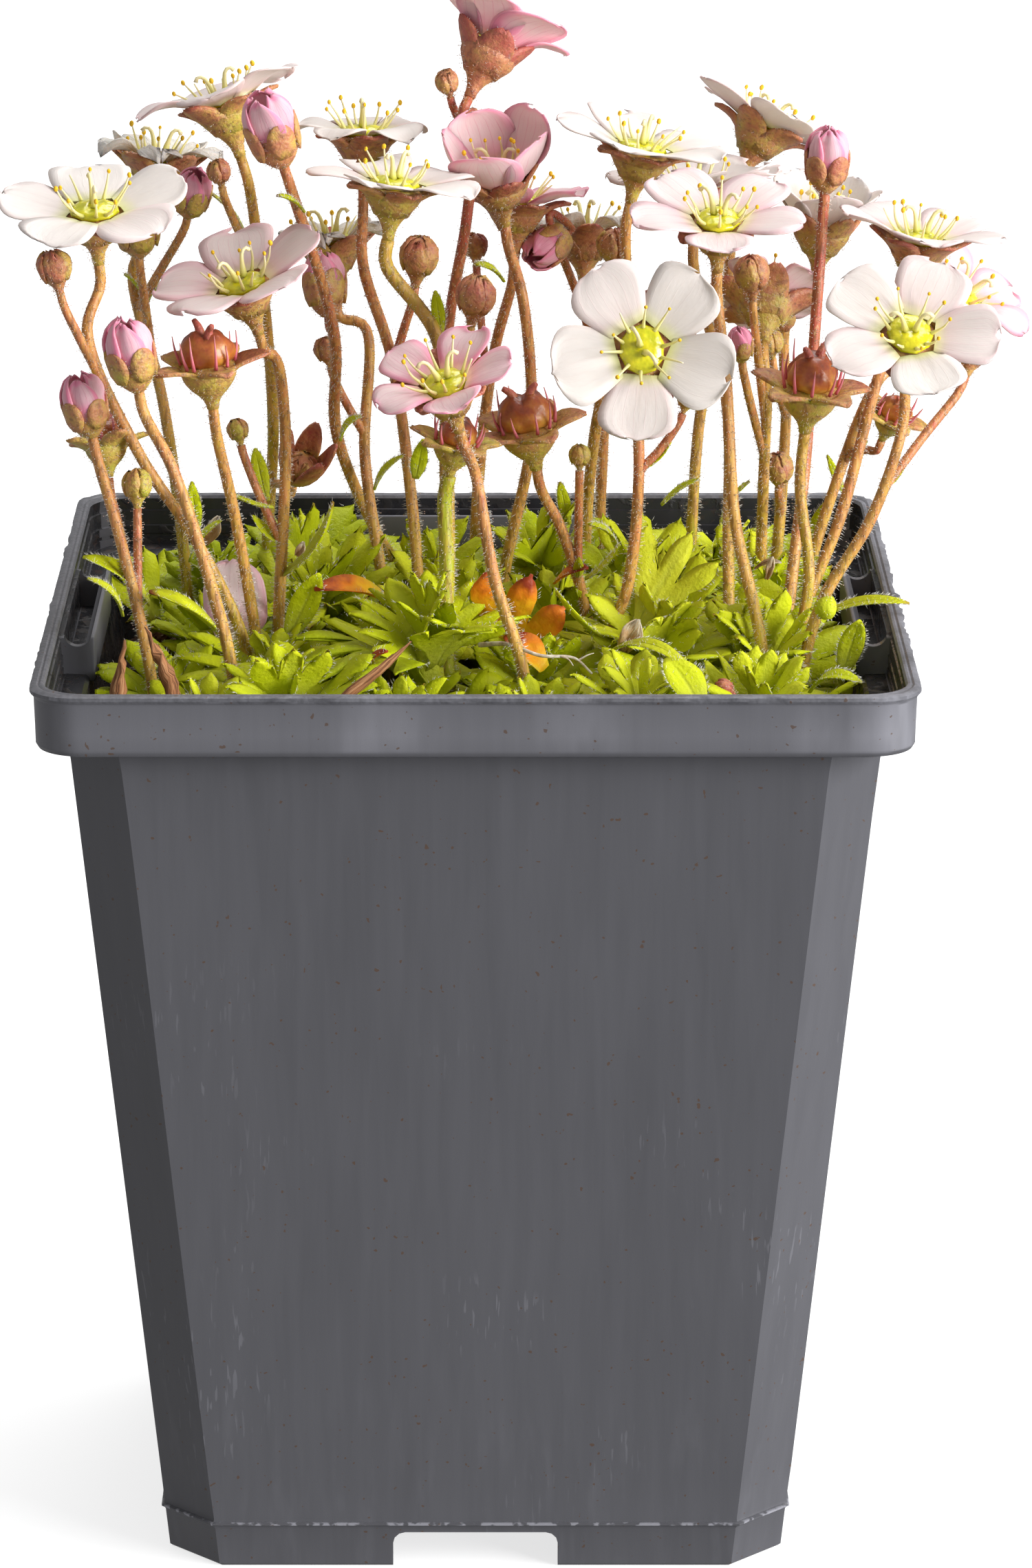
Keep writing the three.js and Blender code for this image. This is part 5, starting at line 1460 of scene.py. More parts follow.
def add_rosette(growth, forms, spot, ground, random, count, form):
    """A rosette of leaves, small and upright in its heart and long and spreading outside."""
    x, y, size, lift = spot
    base = CUSHION_TOP - 1.0 + lift
    turn = random.uniform(0, math.tau)
    # Painted light: rosettes towards the right and front get a lighter tone, and those to the left and back a darker
    # one, after how the key light falls.
    tone = random.uniform(0.42, 0.72) - 0.005 * (y + 20) + 0.004 * x
    for index in range(count):
        share = index / (count - 1)
        azimuth = turn + index * GOLDEN_TURN + random.uniform(-0.2, 0.2)
        length = (6.4 + 5.2 * share) * size * random.uniform(0.85, 1.12)
        droop = 14 + 34 * share + random.uniform(-8, 8)
        rise = raised_clear(x, y, 90 - 32 * share + random.uniform(-9, 9), droop, length, azimuth, ground)
        outward = np.array([math.cos(azimuth), math.sin(azimuth), 0])
        root = np.array([x, y, base + 2.4 * (1 - share) - 1.5 * share]) + outward * 1.2 * size * share
        lobes = random.choice((3, 3, 3, 5)) if form == "leaf" and share > 0.4 else 3
        width = length * random.uniform(0.41, 0.48) + (0.5 if lobes == 5 else 0)
        blade = Blade(root, outward, (random.uniform(-0.3, 0.3), random.uniform(-0.7, -0.2), 1))
        curl = random.uniform(-0.5, 0.5)
        surface = leaf_surface(blade, length, width, rise, droop, random.uniform(0.0, 0.2), lobes, curl)
        ripe = 0.7 if random.random() < 0.14 else 0.0
        # Painted light and shade on the tone: heart leaves lighter and low outer leaves darker, on top of each leaf's
        # own random tone.
        leaf_tone_and_shade = tone + 0.2 * (1 - share) - 0.2 * share + random.uniform(-0.18, 0.18)
        add_leaf(growth, forms, surface, random, leaf_tone_and_shade, ripe, form=form, hairs=105 if form == "leaf" else 46)
    foot = np.array([x, y, SOIL_TOP - 1.5])
    line = smooth_route([foot, foot + (0.4, -0.3, 2), (x, y, base + 2.0)], 0.8)
    radii = np.linspace(1.8, 1.3, len(line)) * size
    growth.add(forms["shoot"], bend_rod(forms["shoot"], line, radii), "leaf", rod_places(forms["shoot"], 0.75, 0, 0.3))
    add_round_hairs(growth, forms, line, radii, random, 16, 0.8, 0.1)


GOLDEN_TURN = 2.39996
LOW_LEAVES = 24


def grow_patch(name, forms, finishes, settings, random):
    """One patch of the cushion: its rosettes, and low leaves that fill the gaps between them."""
    ground, rosettes = PATCHES[name]
    growth = Growth(("leaf", "stem", "hair"))
    form = "leaf" if "front" in name else "low_leaf"
    if name == "cushion_front_right":
        add_big_leaf(growth, forms, random)
    for spot in rosettes:
        add_rosette(growth, forms, spot, ground, random, settings.leaf_count, form)
    x0, y0, x1, y1 = ground
    for _ in range(LOW_LEAVES):
        x, y = random.uniform(x0 + 3.5, x1 - 2), random.uniform(y0 + 3.5, y1 - 2)
        azimuth = random.uniform(0, math.tau)
        length = random.uniform(7, 11)
        rise = raised_clear(x, y, random.uniform(22, 68), 20, length, azimuth, ground)
        outward = np.array([math.cos(azimuth), math.sin(azimuth), 0])
        height = random.uniform(0, 4)
        blade = Blade((x, y, SOIL_TOP + height), outward, (0, -0.3, 1))
        surface = leaf_surface(blade, length, length * 0.36, rise, 22, random.uniform(0, 0.25))
        # Painted shade: the low leaves get a dark tone, darkest nearest the compost under the rosettes.
        tone = random.uniform(0.05, 0.4) + 0.06 * height
        add_leaf(growth, forms, surface, random, tone, 0.5 * (random.random() < 0.3), hairs=24, form="low_leaf")
    growth.points = [kept_in_pot(points) for points in growth.points]
    growth.finish_piece(name.replace("cushion", "leaf_cushion"), finishes, "leaf", name)


BIG_LEAF = ((16.5, -11, 96.5), (22.5, -8, 107.5), 3.4)


def add_big_leaf(growth, forms, random):
    """The largest leaf, which stands up from the right-hand front patch."""
    root, tip, width = BIG_LEAF
    run = np.subtract(tip, root)
    blade = Blade(root, run, (-0.2, -1, 0.4))
    surface = leaf_surface(blade, np.linalg.norm(run), width, 6, 20, 0.12, 3, -0.6)
    add_leaf(growth, forms, surface, random, 0.95, 0, hairs=110)


def grow_stray_leaves(forms, finishes, random):
    growth = Growth(("leaf", "hair"))
    for root, tip, width, arch, brown in STRAY_LEAVES:
        surface = lance_surface(root, tip, width, arch)
        add_leaf(growth, forms, surface, random, random.uniform(0.4, 0.75), brown, hairs=120, form="lance")
    growth.finish_piece("stray_leaves", finishes, "leaf")


def grow_turning_leaves(forms, finishes, random):
    growth = Growth(("turning", "hair"))
    for root, tip, width, arch, turned, lobed in TURNING_LEAVES:
        if lobed:
            run = np.subtract(tip, root)
            blade = Blade(root, run, (0, -1, 0.2))
            surface = leaf_surface(blade, np.linalg.norm(run), width * 1.5, 4, 10, 0.1, 3, 0.9)
        else:
            surface = lance_surface(root, tip, width, arch, 0.45)
        form = "leaf" if lobed else "lance"
        add_leaf(growth, forms, surface, random, 0.5, turned, "turning", 30, form, 0.22)
    growth.finish_piece("turning_leaves", finishes, "leaf")


def grow_loose_pieces(forms, finishes, random):
    """A dropped bud, a green one and dry scraps among the leaves."""
    growth = Growth(("calyx", "hair", "leaf", "withered"))
    middle, facing, size = LOOSE_BUD
    ball_head(growth, forms, HeadFrame(middle, facing, (0.3, 0.9, 0.2)), size, random, 1.1)
    middle, size = GREEN_BUD
    lumps = np.array([1 + 0.18 * noise.noise(Vector(point) * 1.6) for point in forms["ball"].points])
    growth.add(forms["ball"], middle + forms["ball"].points * lumps[:, None] * size, "leaf", ripe=0.3,
               grown=np.full(forms["ball"].points.shape, 0.55))
    directions = unit(np.array([[random.gauss(0, 1) for _ in range(3)] for _ in range(60)]))
    growth.hairs(forms["spike"], middle + directions * size, directions, np.full(60, 0.4), 0.034, "hair", 0.2)
    for root, tip, width in DRY_SCRAPS:
        flat = lance_surface(root, tip, width, 0.4, 0.5, 0.6)
        phase = random.uniform(0, math.tau)

        def surface(across, along):
            wave = 0.4 * width * np.sin(across * 4 + phase) * np.sin(along * 7 + phase)
            return flat(across, along) + np.multiply.outer(wave, (0.3, -0.9, 0.3))

        places = slab_places(forms["petal"], random.random())
        growth.add(forms["petal"], bend_slab(forms["petal"], surface, 0.14), "withered", places, 1.0)
    growth.finish_piece("loose_pieces", finishes, "stalk")


def grow_fallen_petal(forms, finishes, random):
    root, tip = FALLEN_PETAL
    run = np.subtract(tip, root)
    length = np.linalg.norm(run)
    blade = Blade(root, run, (0.15, -1, 0.3))

    def surface(across, along):
        share = 1 - np.clip(1 - along, 1e-4, None) ** 1.45
        side = 3.5 * petal_half_width(share, 0.5) * across
        height = 0.55 * np.sin(share * 5 + across * 2) - 0.9 * across ** 2 * share + 0.25 * np.sin(across * 7 + share * 9)
        return blade.points(side, length * share, height)

    growth = Growth(("petal",))
    growth.add(forms["petal"], bend_slab(forms["petal"], surface, 0.2), "petal", slab_places(forms["petal"], 0.4), 0.5)
    growth.finish_piece("fallen_petal", finishes, "petal_white")


def scatter_litter(forms, finishes, random):
    """The chips of bark and the white root."""
    growth = Growth(("bark", "root"))
    for start, end, width in BARK_CHIPS:
        middle = np.add(start, end) / 2 + (random.uniform(-0.8, 0.8), random.uniform(-0.5, 0.5), 0.3)
        line = smooth_route([start, middle, end], 0.7)
        radii = width * np.interp(np.linspace(0, 1, len(line)), (0, 0.15, 0.6, 1), (0.6, 1, 0.8, 0.12))
        points = bend_rod(forms["shoot"], line, radii)
        ridges = np.array([noise.noise(Vector(point) * 1.4) for point in points])
        growth.add(forms["shoot"], points + 0.45 * width * ridges[:, None], "bark", rod_places(forms["shoot"], 0.5))
    line = smooth_route(DRY_ROOT, 0.5)
    growth.add(forms["stem"], bend_rod(forms["stem"], line, np.linspace(0.28, 0.12, len(line))), "root",
               rod_places(forms["stem"], 0.5))
    for share, way in ((0.35, (-0.6, -0.3, 2.4)), (0.7, (1.4, -0.8, -0.8)), (0.85, (1.6, 0.6, 0.6))):
        start = along_line(line, np.array([share]))[0]
        twig = smooth_route([start, start + np.multiply(way, 0.5) + (0.2, 0, 0.2), start + way], 0.4)
        growth.add(forms["thread"], bend_rod(forms["thread"], twig, np.linspace(0.13, 0.05, len(twig))), "root",
                   rod_places(forms["thread"], 0.5))
    growth.finish_piece("bark_and_root", finishes, "compost")


# Pot and compost

def body_half(height):
    return BASE_HALF + (BODY_TOP_HALF - BASE_HALF) * height / BAND_FOOT


STRAIGHT_POINTS = 84
CORNER_POINTS = 12


def square_ring(half, corner, cut):
    """A square's outline with corners cut flat with softened ends, or rounded."""
    arc = []
    for step in range(CORNER_POINTS + 1):
        share = step / CORNER_POINTS
        angle = share * math.pi / 2
        round_x = half - corner + corner * math.cos(angle)
        round_y = half - corner + corner * math.sin(angle)
        flat_x = half - corner * ease(share)
        flat_y = half - corner + corner * ease(share)
        arc.append((flat_x * cut + round_x * (1 - cut), flat_y * cut + round_y * (1 - cut)))
    low, high = -(half - corner), half - corner
    side = [(half, low + (high - low) * step / STRAIGHT_POINTS) for step in range(1, STRAIGHT_POINTS)]
    quarter = np.array(side + arc)
    turns = [quarter, quarter[:, ::-1] * (-1, 1), quarter * (-1, -1), quarter[:, ::-1] * (1, -1)]
    return np.concatenate(turns)


def pot_rings(wall):
    """The rings of the pot's skin, from under its foot up the outside, over the lip and down the inside."""
    body = [(0.0, -0.25), (0.3, 0.0), (4.5, 0.0), (4.8, 0.12), (4.95, 0.35), (5.15, 0.35), (5.3, 0.06), (5.6, 0.0)]
    body += [(height, 0.0) for height in (10, 16, 24, 34, 44, 54, 64, 74, 84, 90)]
    rings = [(height, body_half(height) + out, CORNER_CUT, 1.0, 0.0) for height, out in body]
    rings.append((BAND_FOOT - 0.1, BODY_TOP_HALF + 0.1, CORNER_CUT, 1.0, 0.0))
    band = [(BAND_FOOT, 42.4, 0), (BAND_FOOT + 0.05, BAND_HALF - 0.8, 0), (BAND_FOOT + 0.25, BAND_HALF - 0.25, 0),
            (BAND_FOOT + 0.75, BAND_HALF, 0), (BAND_FOOT + 2.5, BAND_HALF + 0.03, 0),
            (POT_HEIGHT - 1.15, BAND_HALF + 0.12, 0), (POT_HEIGHT - 0.85, BAND_HALF + 0.28, 0.3),
            (POT_HEIGHT - 0.55, LIP_HALF - 0.1, 1.0), (POT_HEIGHT - 0.2, LIP_HALF - 0.1, 1.0),
            (POT_HEIGHT - 0.05, LIP_HALF - 0.4, 0.35), (POT_HEIGHT - 0.02, LIP_HALF - 0.75, 0.1),
            (POT_HEIGHT - 0.16, LIP_HALF - 0.95, 0), (POT_HEIGHT - 0.06, LIP_HALF - 1.15, 0.1),
            (POT_HEIGHT - 0.1, LIP_HALF - 1.4, 0.1), (POT_HEIGHT - 0.4, LIP_HALF - 1.6, 0)]
    inner = BAND_HALF - wall
    band += [(POT_HEIGHT - 1.7, inner + 0.22, 0), (POT_HEIGHT - 1.8, inner + 0.05, 0), (POT_HEIGHT - 3.4, inner, 0),
             (POT_HEIGHT - 3.5, inner - 0.14, 0), (POT_HEIGHT - 4.4, inner - 0.14, 0), (POT_HEIGHT - 4.45, inner, 0),
             (POT_HEIGHT - 4.8, inner - 0.02, 0), (POT_HEIGHT - 4.85, inner - 0.2, 0), (POT_HEIGHT - 5.6, inner - 0.22, 0)]
    rings += [(height, half, BAND_CORNER, 0.0, ragged) for height, half, ragged in band]
    shoulder = BAND_FOOT + wall
    rings.append((shoulder + 0.1, inner - 0.4, BAND_CORNER, 0.1, 0.0))
    rings.append((shoulder, body_half(shoulder) - wall + 0.35, CORNER_CUT, 0.8, 0.0))
    rings += [(height, body_half(height) - wall, CORNER_CUT, 1.0, 0.0)
              for height in (shoulder - 0.4, 88, 80, 60, 40, 20, 9, UNDERSIDE + FLOOR_THICKNESS + 0.6)]
    rings.append((UNDERSIDE + FLOOR_THICKNESS, body_half(6) - wall - 0.7, CORNER_CUT, 1.0, 0.0))
    return rings


def ragged_reach(count, random):
    """How far each point of the lip's edge stands out: torn in some stretches and smooth in others."""
    shift = random.uniform(0, 50)
    torn = np.array([ease(noise.noise(Vector((place * 0.06, shift, 0))) * 3 + 0.6) for place in range(count)])
    dents = np.array([noise.noise(Vector((place * 0.31, 7.0, shift))) for place in range(count)])
    nicks = np.array([random.uniform(-0.4, 0.4) for _ in range(count)])
    return torn * (dents * 1.1 + nicks) + nicks * 0.08


def model_pot_shell(settings, random):
    """The skin of the pot, drawn up ring by ring from a ring at its foot."""
    wall = settings.wall / MM
    count = 4 * (STRAIGHT_POINTS + CORNER_POINTS)
    clear_selection()
    bpy.ops.mesh.primitive_circle_add(vertices=count, radius=BASE_HALF * MM, fill_type="NOTHING")
    thing = bpy.context.object
    bpy.ops.object.mode_set(mode="EDIT")
    bpy.ops.mesh.select_all(action="SELECT")
    mesh = bmesh.from_edit_mesh(thing.data)
    mesh.verts.ensure_lookup_table()
    order = [vertex.index for vertex in mesh.verts]
    teeth = ragged_reach(count, random)
    warp = np.array([random.uniform(0, math.tau) for _ in range(4)])
    under = body_half(2) - wall * 1.2
    start = [(UNDERSIDE, under, CORNER_CUT - 0.6, 1.0, 0.0), (0.2, under, CORNER_CUT - 0.6, 1.0, 0.0)]
    for level, (height, half, corner, cut, ragged) in enumerate(start + pot_rings(wall)):
        if level:
            bpy.ops.mesh.extrude_region_move(TRANSFORM_OT_translate={"value": (0, 0, 0)})
            mesh = bmesh.from_edit_mesh(thing.data)
            order = following(mesh, order)
        outline = square_ring(half, corner, cut)
        lengths = np.linalg.norm(outline, axis=1, keepdims=True)
        reach = teeth[:, None] * ragged * settings.ragged / MM
        outline = outline * (1 + reach / lengths)
        angle = np.arctan2(outline[:, 1], outline[:, 0])
        bow = 0.16 * np.sin(angle * 4 + warp[0]) * math.sin(height / 30 + warp[1])
        outline = outline * (1 + (bow * (8 < height < 90))[:, None] / lengths)
        mesh.verts.ensure_lookup_table()
        rise = teeth * ragged * 0.12
        for place, (index, (x, y)) in enumerate(zip(order, outline)):
            mesh.verts[index].co = (x * MM, y * MM, (height + rise[place]) * MM)
    bmesh.update_edit_mesh(thing.data)
    bpy.ops.mesh.edge_face_add()
    bpy.ops.mesh.select_all(action="DESELECT")
    for edge in mesh.edges:
        edge.select = edge.is_boundary
    bpy.ops.mesh.edge_face_add()
    bpy.ops.mesh.select_all(action="SELECT")
    bpy.ops.mesh.normals_make_consistent(inside=False)
    bpy.ops.object.mode_set(mode="OBJECT")
    return thing


def following(mesh, order):
    """The new vertices of an extruded ring, in the order of the ring below."""
    mesh.verts.ensure_lookup_table()
    fresh = []
    for index in order:
        vertex = mesh.verts[index]
        above = [edge.other_vert(vertex) for edge in vertex.link_edges if edge.other_vert(vertex).select]
        fresh.append(above[0].index)
    return fresh


def add_block(centre, size, soft):
    """A box with softened edges, in millimetres."""
    clear_selection()
    bpy.ops.mesh.primitive_cube_add(size=1, location=[value * MM for value in centre])
    thing = bpy.context.object
    thing.scale = [value * MM for value in size]
    bpy.ops.object.transform_apply(location=True, rotation=True, scale=True)
    if soft:
        modifier = thing.modifiers.new("soft", "BEVEL")
        modifier.width = soft * MM
        modifier.segments = 3
        bpy.ops.object.modifier_apply(modifier="soft")
    return thing


def add_drum(centre, radius, depth, sides=24, tilt=(0, 0, 0)):
    clear_selection()
    bpy.ops.mesh.primitive_cylinder_add(vertices=sides, radius=radius * MM, depth=depth * MM,
                                        location=[value * MM for value in centre], rotation=tilt)
    bpy.ops.object.transform_apply(location=True, rotation=True, scale=True)
    return bpy.context.object


def combine(thing, others, operation):
    """Cuts the others out of a thing, or joins them to it, and removes them."""
    for other in others:
        clear_selection()
        bpy.context.view_layer.objects.active = thing
        thing.select_set(True)
        modifier = thing.modifiers.new("combine", "BOOLEAN")
        modifier.operation = operation
        modifier.solver = "EXACT"
        modifier.object = other
        bpy.ops.object.modifier_apply(modifier="combine")
        bpy.data.objects.remove(other)
    return thing


def quarter_turns(make):
    """A thing made four times, a quarter turn apart."""
    things = []
    for quarter in range(4):
        thing = make()
        angle = math.pi / 2 * quarter
        co = np.zeros(len(thing.data.vertices) * 3)
        thing.data.vertices.foreach_get("co", co)
        x, y, z = co.reshape(-1, 3).T
        turned = np.stack([x * math.cos(angle) - y * math.sin(angle), x * math.sin(angle) + y * math.cos(angle), z], 1)
        thing.data.vertices.foreach_set("co", turned.ravel())
        things.append(thing)
    return things


def make_lug():
    """A stacking lug: a long pocket on the shoulder, its end walls dipped in the middle."""
    shoulder = BAND_FOOT + 1.1
    inner, outer = body_half(shoulder) - 1.7, BAND_HALF - 0.6
    height = LUG_TOP - shoulder + 0.8
    block = add_block(((inner + outer) / 2, 0, shoulder - 0.8 + height / 2), (outer - inner, 30, height), 0.2)
    pocket = add_block(((inner + 1 + outer - 0.7) / 2, 0, shoulder + 10), (outer - inner - 1.7, 28, 20), 0)
    middle = (inner + outer) / 2 - 0.2
    dip = add_drum((middle, 0, 97.9), 1.5, 34, 24, (math.pi / 2, 0, 0))
    return combine(block, [pocket, dip], "DIFFERENCE")


def make_notch():
    return add_block((BASE_HALF - 0.5, 0, 1.0), (7, 17.5, 6), 1.3)


def make_pot(settings, finishes, random):
    pot = model_pot_shell(settings, random)
    pad = add_drum((0, 0, (UNDERSIDE + 0.5) / 2), 6, UNDERSIDE + 0.5, 40)
    combine(pot, [*quarter_turns(make_lug), pad], "UNION")
    drains = quarter_turns(lambda: add_drum((17, 17, 6), 4.5, 12, 32))
    combine(pot, [*quarter_turns(make_notch), *drains], "DIFFERENCE")
    pot.name = pot.data.name = "moulded_pot"
    pot.data.materials.clear()
    pot.data.materials.append(finishes["plastic"])
    pot.data.materials.append(finishes["soiled plastic with painted shade"])
    for polygon in pot.data.polygons:
        x, y, z = polygon.center / MM
        inward = x * polygon.normal.x + y * polygon.normal.y < 0
        on_wall = max(abs(x), abs(y)) > BAND_HALF - 2 or z < BAND_FOOT + 1.2
        # Inward faces of the wall take the soiled plastic that is darkened with painted shade.
        polygon.material_index = int(inward and on_wall and 6 < z < POT_HEIGHT - 0.5)
    clear_selection()
    bpy.context.view_layer.objects.active = pot
    pot.select_set(True)
    bpy.ops.object.shade_smooth_by_angle(angle=math.radians(32))
    stand_in(pot, "pot_plastic", "pot")


def make_soil(finishes, random):
    """The block of compost with a crumbled top."""
    clear_selection()
    bpy.ops.mesh.primitive_grid_add(x_subdivisions=66, y_subdivisions=66, size=2)
    thing = bpy.context.object
    bpy.ops.object.mode_set(mode="EDIT")
    bpy.ops.mesh.select_all(action="SELECT")
    bpy.ops.mesh.extrude_region_move(TRANSFORM_OT_translate={"value": (0, 0, -1)})
    bpy.ops.mesh.select_all(action="SELECT")
    bpy.ops.mesh.normals_make_consistent(inside=False)
    bpy.ops.object.mode_set(mode="OBJECT")
    top, low = SOIL_TOP, SOIL_LOW.z / MM
    for vertex in thing.data.vertices:
        x, y, z = vertex.co
        height = top if z > -0.5 else low
        half = body_half(height) - 1.4
        reach = abs(x) + abs(y)
        limit = (2 * half - CORNER_CUT + 0.4) / half
        shrink = min(1.0, limit / reach) if reach > 0 else 1.0
        place = Vector((x * half * shrink, y * half * shrink, 0))
        if z > -0.5:
            lumps = noise.fractal(place * 0.28, 1.0, 2.0, 4) * 1.1 + noise.noise(place * 1.3) * 0.5
            edge = max(abs(x), abs(y))
            height += lumps - 1.6 - 2.0 * max(0, edge - 0.9) * 10 * 0.4
        vertex.co = (place.x * MM, place.y * MM, height * MM)
    thing.name = thing.data.name = "compost"
    thing.data.shade_smooth()
    thing.data.materials.append(finishes["compost"])
    stand_in(thing, "compost", "soil")


def scatter_crumbs(forms, finishes, random):
    """Crumbs of compost and dark fibres lying on the block."""
    growth = Growth(("compost", "bark"))
    for _ in range(620):
        x, y = random.uniform(-37.5, 37.5), random.uniform(-37.5, 37.5)
        if abs(x) + abs(y) > 70:
            continue
        size = random.uniform(0.25, 1.0) ** 1.5 * 1.1
        form = forms["crumb"]
        bumps = np.array([1 + 0.45 * noise.noise(Vector(point) * 1.7 + Vector((x, y, 0))) for point in form.points])
        points = form.points * bumps[:, None] * (size, size * random.uniform(0.6, 1), size * 0.7)
        ground = SOIL_TOP - 1.2 + noise.noise(Vector((x, y, 0)) * 0.28)
        growth.add(form, points + (x, y, ground), "compost")
    for _ in range(60):
        x, y = random.uniform(-36, 36), random.uniform(-36, 36)
        turn = random.uniform(0, math.tau)
        way = np.array([math.cos(turn), math.sin(turn), random.uniform(-0.1, 0.4)])
        start = np.array([x, y, SOIL_TOP - 0.6])
        line = smooth_route([start, start + way * 1.6 + (0, 0, 0.5), start + way * random.uniform(2.5, 5)], 0.5)
        inside = np.abs(line[:, :2]).max() < 38.3
        if inside:
            growth.add(forms["thread"], bend_rod(forms["thread"], line, np.full(len(line), random.uniform(0.12, 0.3))),
                       "bark", rod_places(forms["thread"], random.random()))
    growth.finish_piece("compost_crumbs", finishes, "compost")


# The stage

CAMERA_LENS = 144.0
CAMERA_PLACE = (0, -650.8, 261.5)
CAMERA_TILT = 72.8
FRAME_HEIGHT_PX = 2280
FRAME_WIDTH_PX = 1500
AXIS_PX = (691.0, 1361.3)


def aim_camera():
    data = bpy.data.cameras.new("camera")
    data.lens = CAMERA_LENS
    data.sensor_width = 36
    data.shift_x = (FRAME_WIDTH_PX / 2 - AXIS_PX[0]) / FRAME_HEIGHT_PX
    data.shift_y = (AXIS_PX[1] - FRAME_HEIGHT_PX / 2) / FRAME_HEIGHT_PX
    data.clip_end = 20
    camera = bpy.data.objects.new("camera", data)
    camera.location = [value * MM for value in CAMERA_PLACE]
    camera.rotation_euler = (math.radians(CAMERA_TILT), 0, 0)
    bpy.context.scene.collection.objects.link(camera)
    bpy.context.scene.camera = camera


def add_softbox(name, place, size, power, target=(0, 0, 0.09)):
    data = bpy.data.lights.new(name, "AREA")
    data.shape = "RECTANGLE"
    data.size, data.size_y = size
    data.energy = power
    lamp = bpy.data.objects.new(name, data)
    lamp.location = place
    lamp.rotation_euler = (Vector(target) - Vector(place)).to_track_quat("-Z", "Y").to_euler()
    bpy.context.scene.collection.objects.link(lamp)


def build_stage(settings):
    aim_camera()
    clear_selection()
    bpy.ops.mesh.primitive_circle_add(vertices=96, radius=6, fill_type="NGON")
    floor = bpy.context.object
    floor.name = "floor"
    finish = Finish("pale floor", roughness=0.9, specular=0.1)
    finish.shader.inputs["Emission Color"].default_value = (1, 1, 1, 1)
    finish.shader.inputs["Emission Strength"].default_value = settings.glow
    grain = finish.noise(finish.spot(), 900.0, 2.0)
    color = finish.shade(tuple(settings.floor), 0.99 + grain * 0.02)
    floor.data.materials.append(finish.surface(color=color))
    floor.visible_diffuse = False
    floor.visible_glossy = False
    add_softbox("key softbox", (1.1, -0.6, 0.42), (0.8, 0.8), settings.key)
    add_softbox("top softbox", (0.55, 1.0, 2.2), (1.7, 1.7), settings.top)
    world = bpy.data.worlds.new("studio")
    world.use_nodes = True
    sky = world.node_tree.nodes["Background"]
    sky.inputs["Color"].default_value = (1, 1, 1, 1)
    sky.inputs["Strength"].default_value = settings.sky
    bpy.context.scene.world = world
    bpy.context.scene.view_settings.view_transform = "Standard"


# Finishes and forms shared by the operators

KEPT_FINISHES = {}
KEPT_FORMS = {}


def shared_finishes(scene):
    if not KEPT_FINISHES:
        plant = scene.saxifrage_plant
        KEPT_FINISHES.update({
            "plastic": plastic_finish(scene.saxifrage_pot),
            "soiled plastic with painted shade": soiled_painted_shade_plastic_finish(scene.saxifrage_pot),
            "compost": compost_finish(),
            "bark": bark_finish(),
            "leaf": leaf_finish(plant),
            "turning": turning_leaf_finish(),
            "petal": petal_finish("petal", plant, (0.9, 0.8, 0.75)),
            "withered": withered_petal_finish(),
            "calyx": calyx_finish(),
            "stem": stem_finish(),
            "hair": hair_finish(),
            "nectary": ovary_finish(),
            "filament": filament_finish(),
            "anther": anther_finish(),
            "capsule": capsule_finish(),
            "style": style_finish(),
            "root": root_finish(),
        })
    return KEPT_FINISHES


def shared_forms():
    if not KEPT_FORMS:
        KEPT_FORMS.update(
            petal=model_slab(8, 12),
            sepal=model_slab(4, 6),
            leaf=model_slab(15, 9),
            low_leaf=model_slab(12, 4),
            lance=model_slab(4, 9),
            stem=model_rod(8, 60),
            shoot=model_rod(7, 14),
            turned=model_rod(20, 14),
            thread=model_rod(5, 8),
            ball=model_ball(2),
            crumb=model_ball(1),
            gland=model_drop(),
            spike=model_spike(),
        )
    return KEPT_FORMS


# Operators

class SAXIFRAGE_OT_stage(bpy.types.Operator):
    """Set up the pale floor, the softboxes and the camera"""
    bl_idname = "saxifrage.stage"
    bl_label = "Stage"

    def execute(self, context):
        build_stage(context.scene.saxifrage_stage)
        return {"FINISHED"}


class SAXIFRAGE_OT_pot(bpy.types.Operator):
    """Mould the pot with its ragged lip, stacking lugs, notched foot and drain holes"""
    bl_idname = "saxifrage.pot"
    bl_label = "Pot"

    def execute(self, context):
        make_pot(context.scene.saxifrage_pot, shared_finishes(context.scene), Random(5))
        return {"FINISHED"}


class SAXIFRAGE_OT_compost(bpy.types.Operator):
    """Fill the pot with crumbling compost"""
    bl_idname = "saxifrage.compost"
    bl_label = "Compost"

    def execute(self, context):
        finishes = shared_finishes(context.scene)
        make_soil(finishes, Random(21))
        scatter_crumbs(shared_forms(), finishes, Random(22))
        return {"FINISHED"}


class SAXIFRAGE_OT_cushion(bpy.types.Operator):
    """Grow the cushion of lobed leaves in its six patches"""
    bl_idname = "saxifrage.cushion"
    bl_label = "Leaf cushion"

    def execute(self, context):
        finishes = shared_finishes(context.scene)
        for index, name in enumerate(PATCHES):
            grow_patch(name, shared_forms(), finishes, context.scene.saxifrage_plant, Random(100 + index))
        return {"FINISHED"}


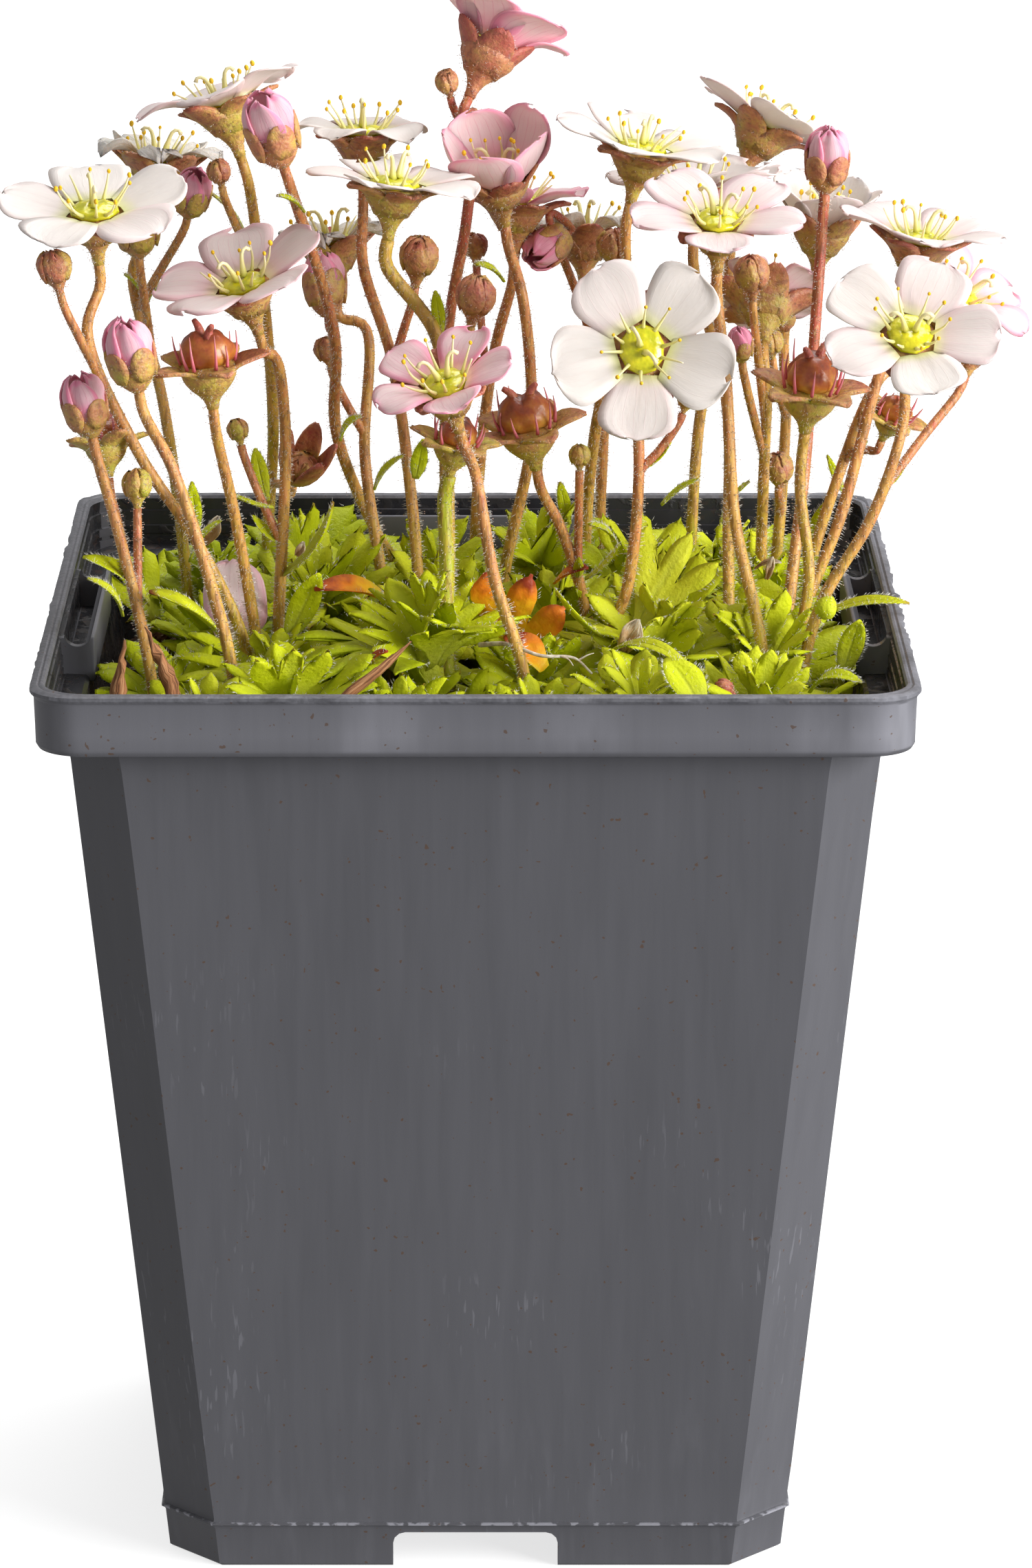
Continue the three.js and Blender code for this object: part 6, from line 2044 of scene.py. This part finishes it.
class SAXIFRAGE_OT_strays(bpy.types.Operator):
    """Grow the leaves on the stalks, and lay turned leaves, a petal, bark and a root among the rosettes"""
    bl_idname = "saxifrage.strays"
    bl_label = "Stray leaves and litter"

    def execute(self, context):
        finishes = shared_finishes(context.scene)
        grow_stray_leaves(shared_forms(), finishes, Random(31))
        grow_loose_pieces(shared_forms(), finishes, Random(36))
        grow_turning_leaves(shared_forms(), finishes, Random(32))
        grow_fallen_petal(shared_forms(), finishes, Random(33))
        scatter_litter(shared_forms(), finishes, Random(34))
        return {"FINISHED"}


class SAXIFRAGE_OT_flowers(bpy.types.Operator):
    """Grow the flower stalks with their flowers, buds and capsules"""
    bl_idname = "saxifrage.flowers"
    bl_label = "Flower stalks"

    def execute(self, context):
        finishes = shared_finishes(context.scene)
        for index, stalk in enumerate(STALKS):
            grow_stalk(index, stalk, shared_forms(), finishes, context.scene.saxifrage_plant, Random(300 + index))
        return {"FINISHED"}


STEPS = (
    SAXIFRAGE_OT_stage,
    SAXIFRAGE_OT_pot,
    SAXIFRAGE_OT_compost,
    SAXIFRAGE_OT_cushion,
    SAXIFRAGE_OT_strays,
    SAXIFRAGE_OT_flowers,
)


class SAXIFRAGE_PT_panel(bpy.types.Panel):
    """Lists the steps and settings of the potted saxifrage"""
    bl_idname = "SAXIFRAGE_PT_panel"
    bl_label = "Potted saxifrage"
    bl_space_type = "VIEW_3D"
    bl_region_type = "UI"
    bl_category = "Saxifrage"

    def draw(self, context):
        for step in STEPS:
            self.layout.operator(step.bl_idname)
        for group in (context.scene.saxifrage_pot, context.scene.saxifrage_plant, context.scene.saxifrage_stage):
            for name in group.__annotations__:
                self.layout.prop(group, name)


CLASSES = (PotSettings, PlantSettings, StageSettings, *STEPS, SAXIFRAGE_PT_panel)


def register():
    for cls in CLASSES:
        bpy.utils.register_class(cls)
    bpy.types.Scene.saxifrage_pot = PointerProperty(type=PotSettings)
    bpy.types.Scene.saxifrage_plant = PointerProperty(type=PlantSettings)
    bpy.types.Scene.saxifrage_stage = PointerProperty(type=StageSettings)


def unregister():
    del bpy.types.Scene.saxifrage_pot
    del bpy.types.Scene.saxifrage_plant
    del bpy.types.Scene.saxifrage_stage
    for cls in reversed(CLASSES):
        bpy.utils.unregister_class(cls)


def main():
    register()
    bpy.ops.saxifrage.stage()
    bpy.ops.saxifrage.pot()
    bpy.ops.saxifrage.compost()
    bpy.ops.saxifrage.cushion()
    bpy.ops.saxifrage.strays()
    bpy.ops.saxifrage.flowers()


if __name__ == "__main__":
    main()
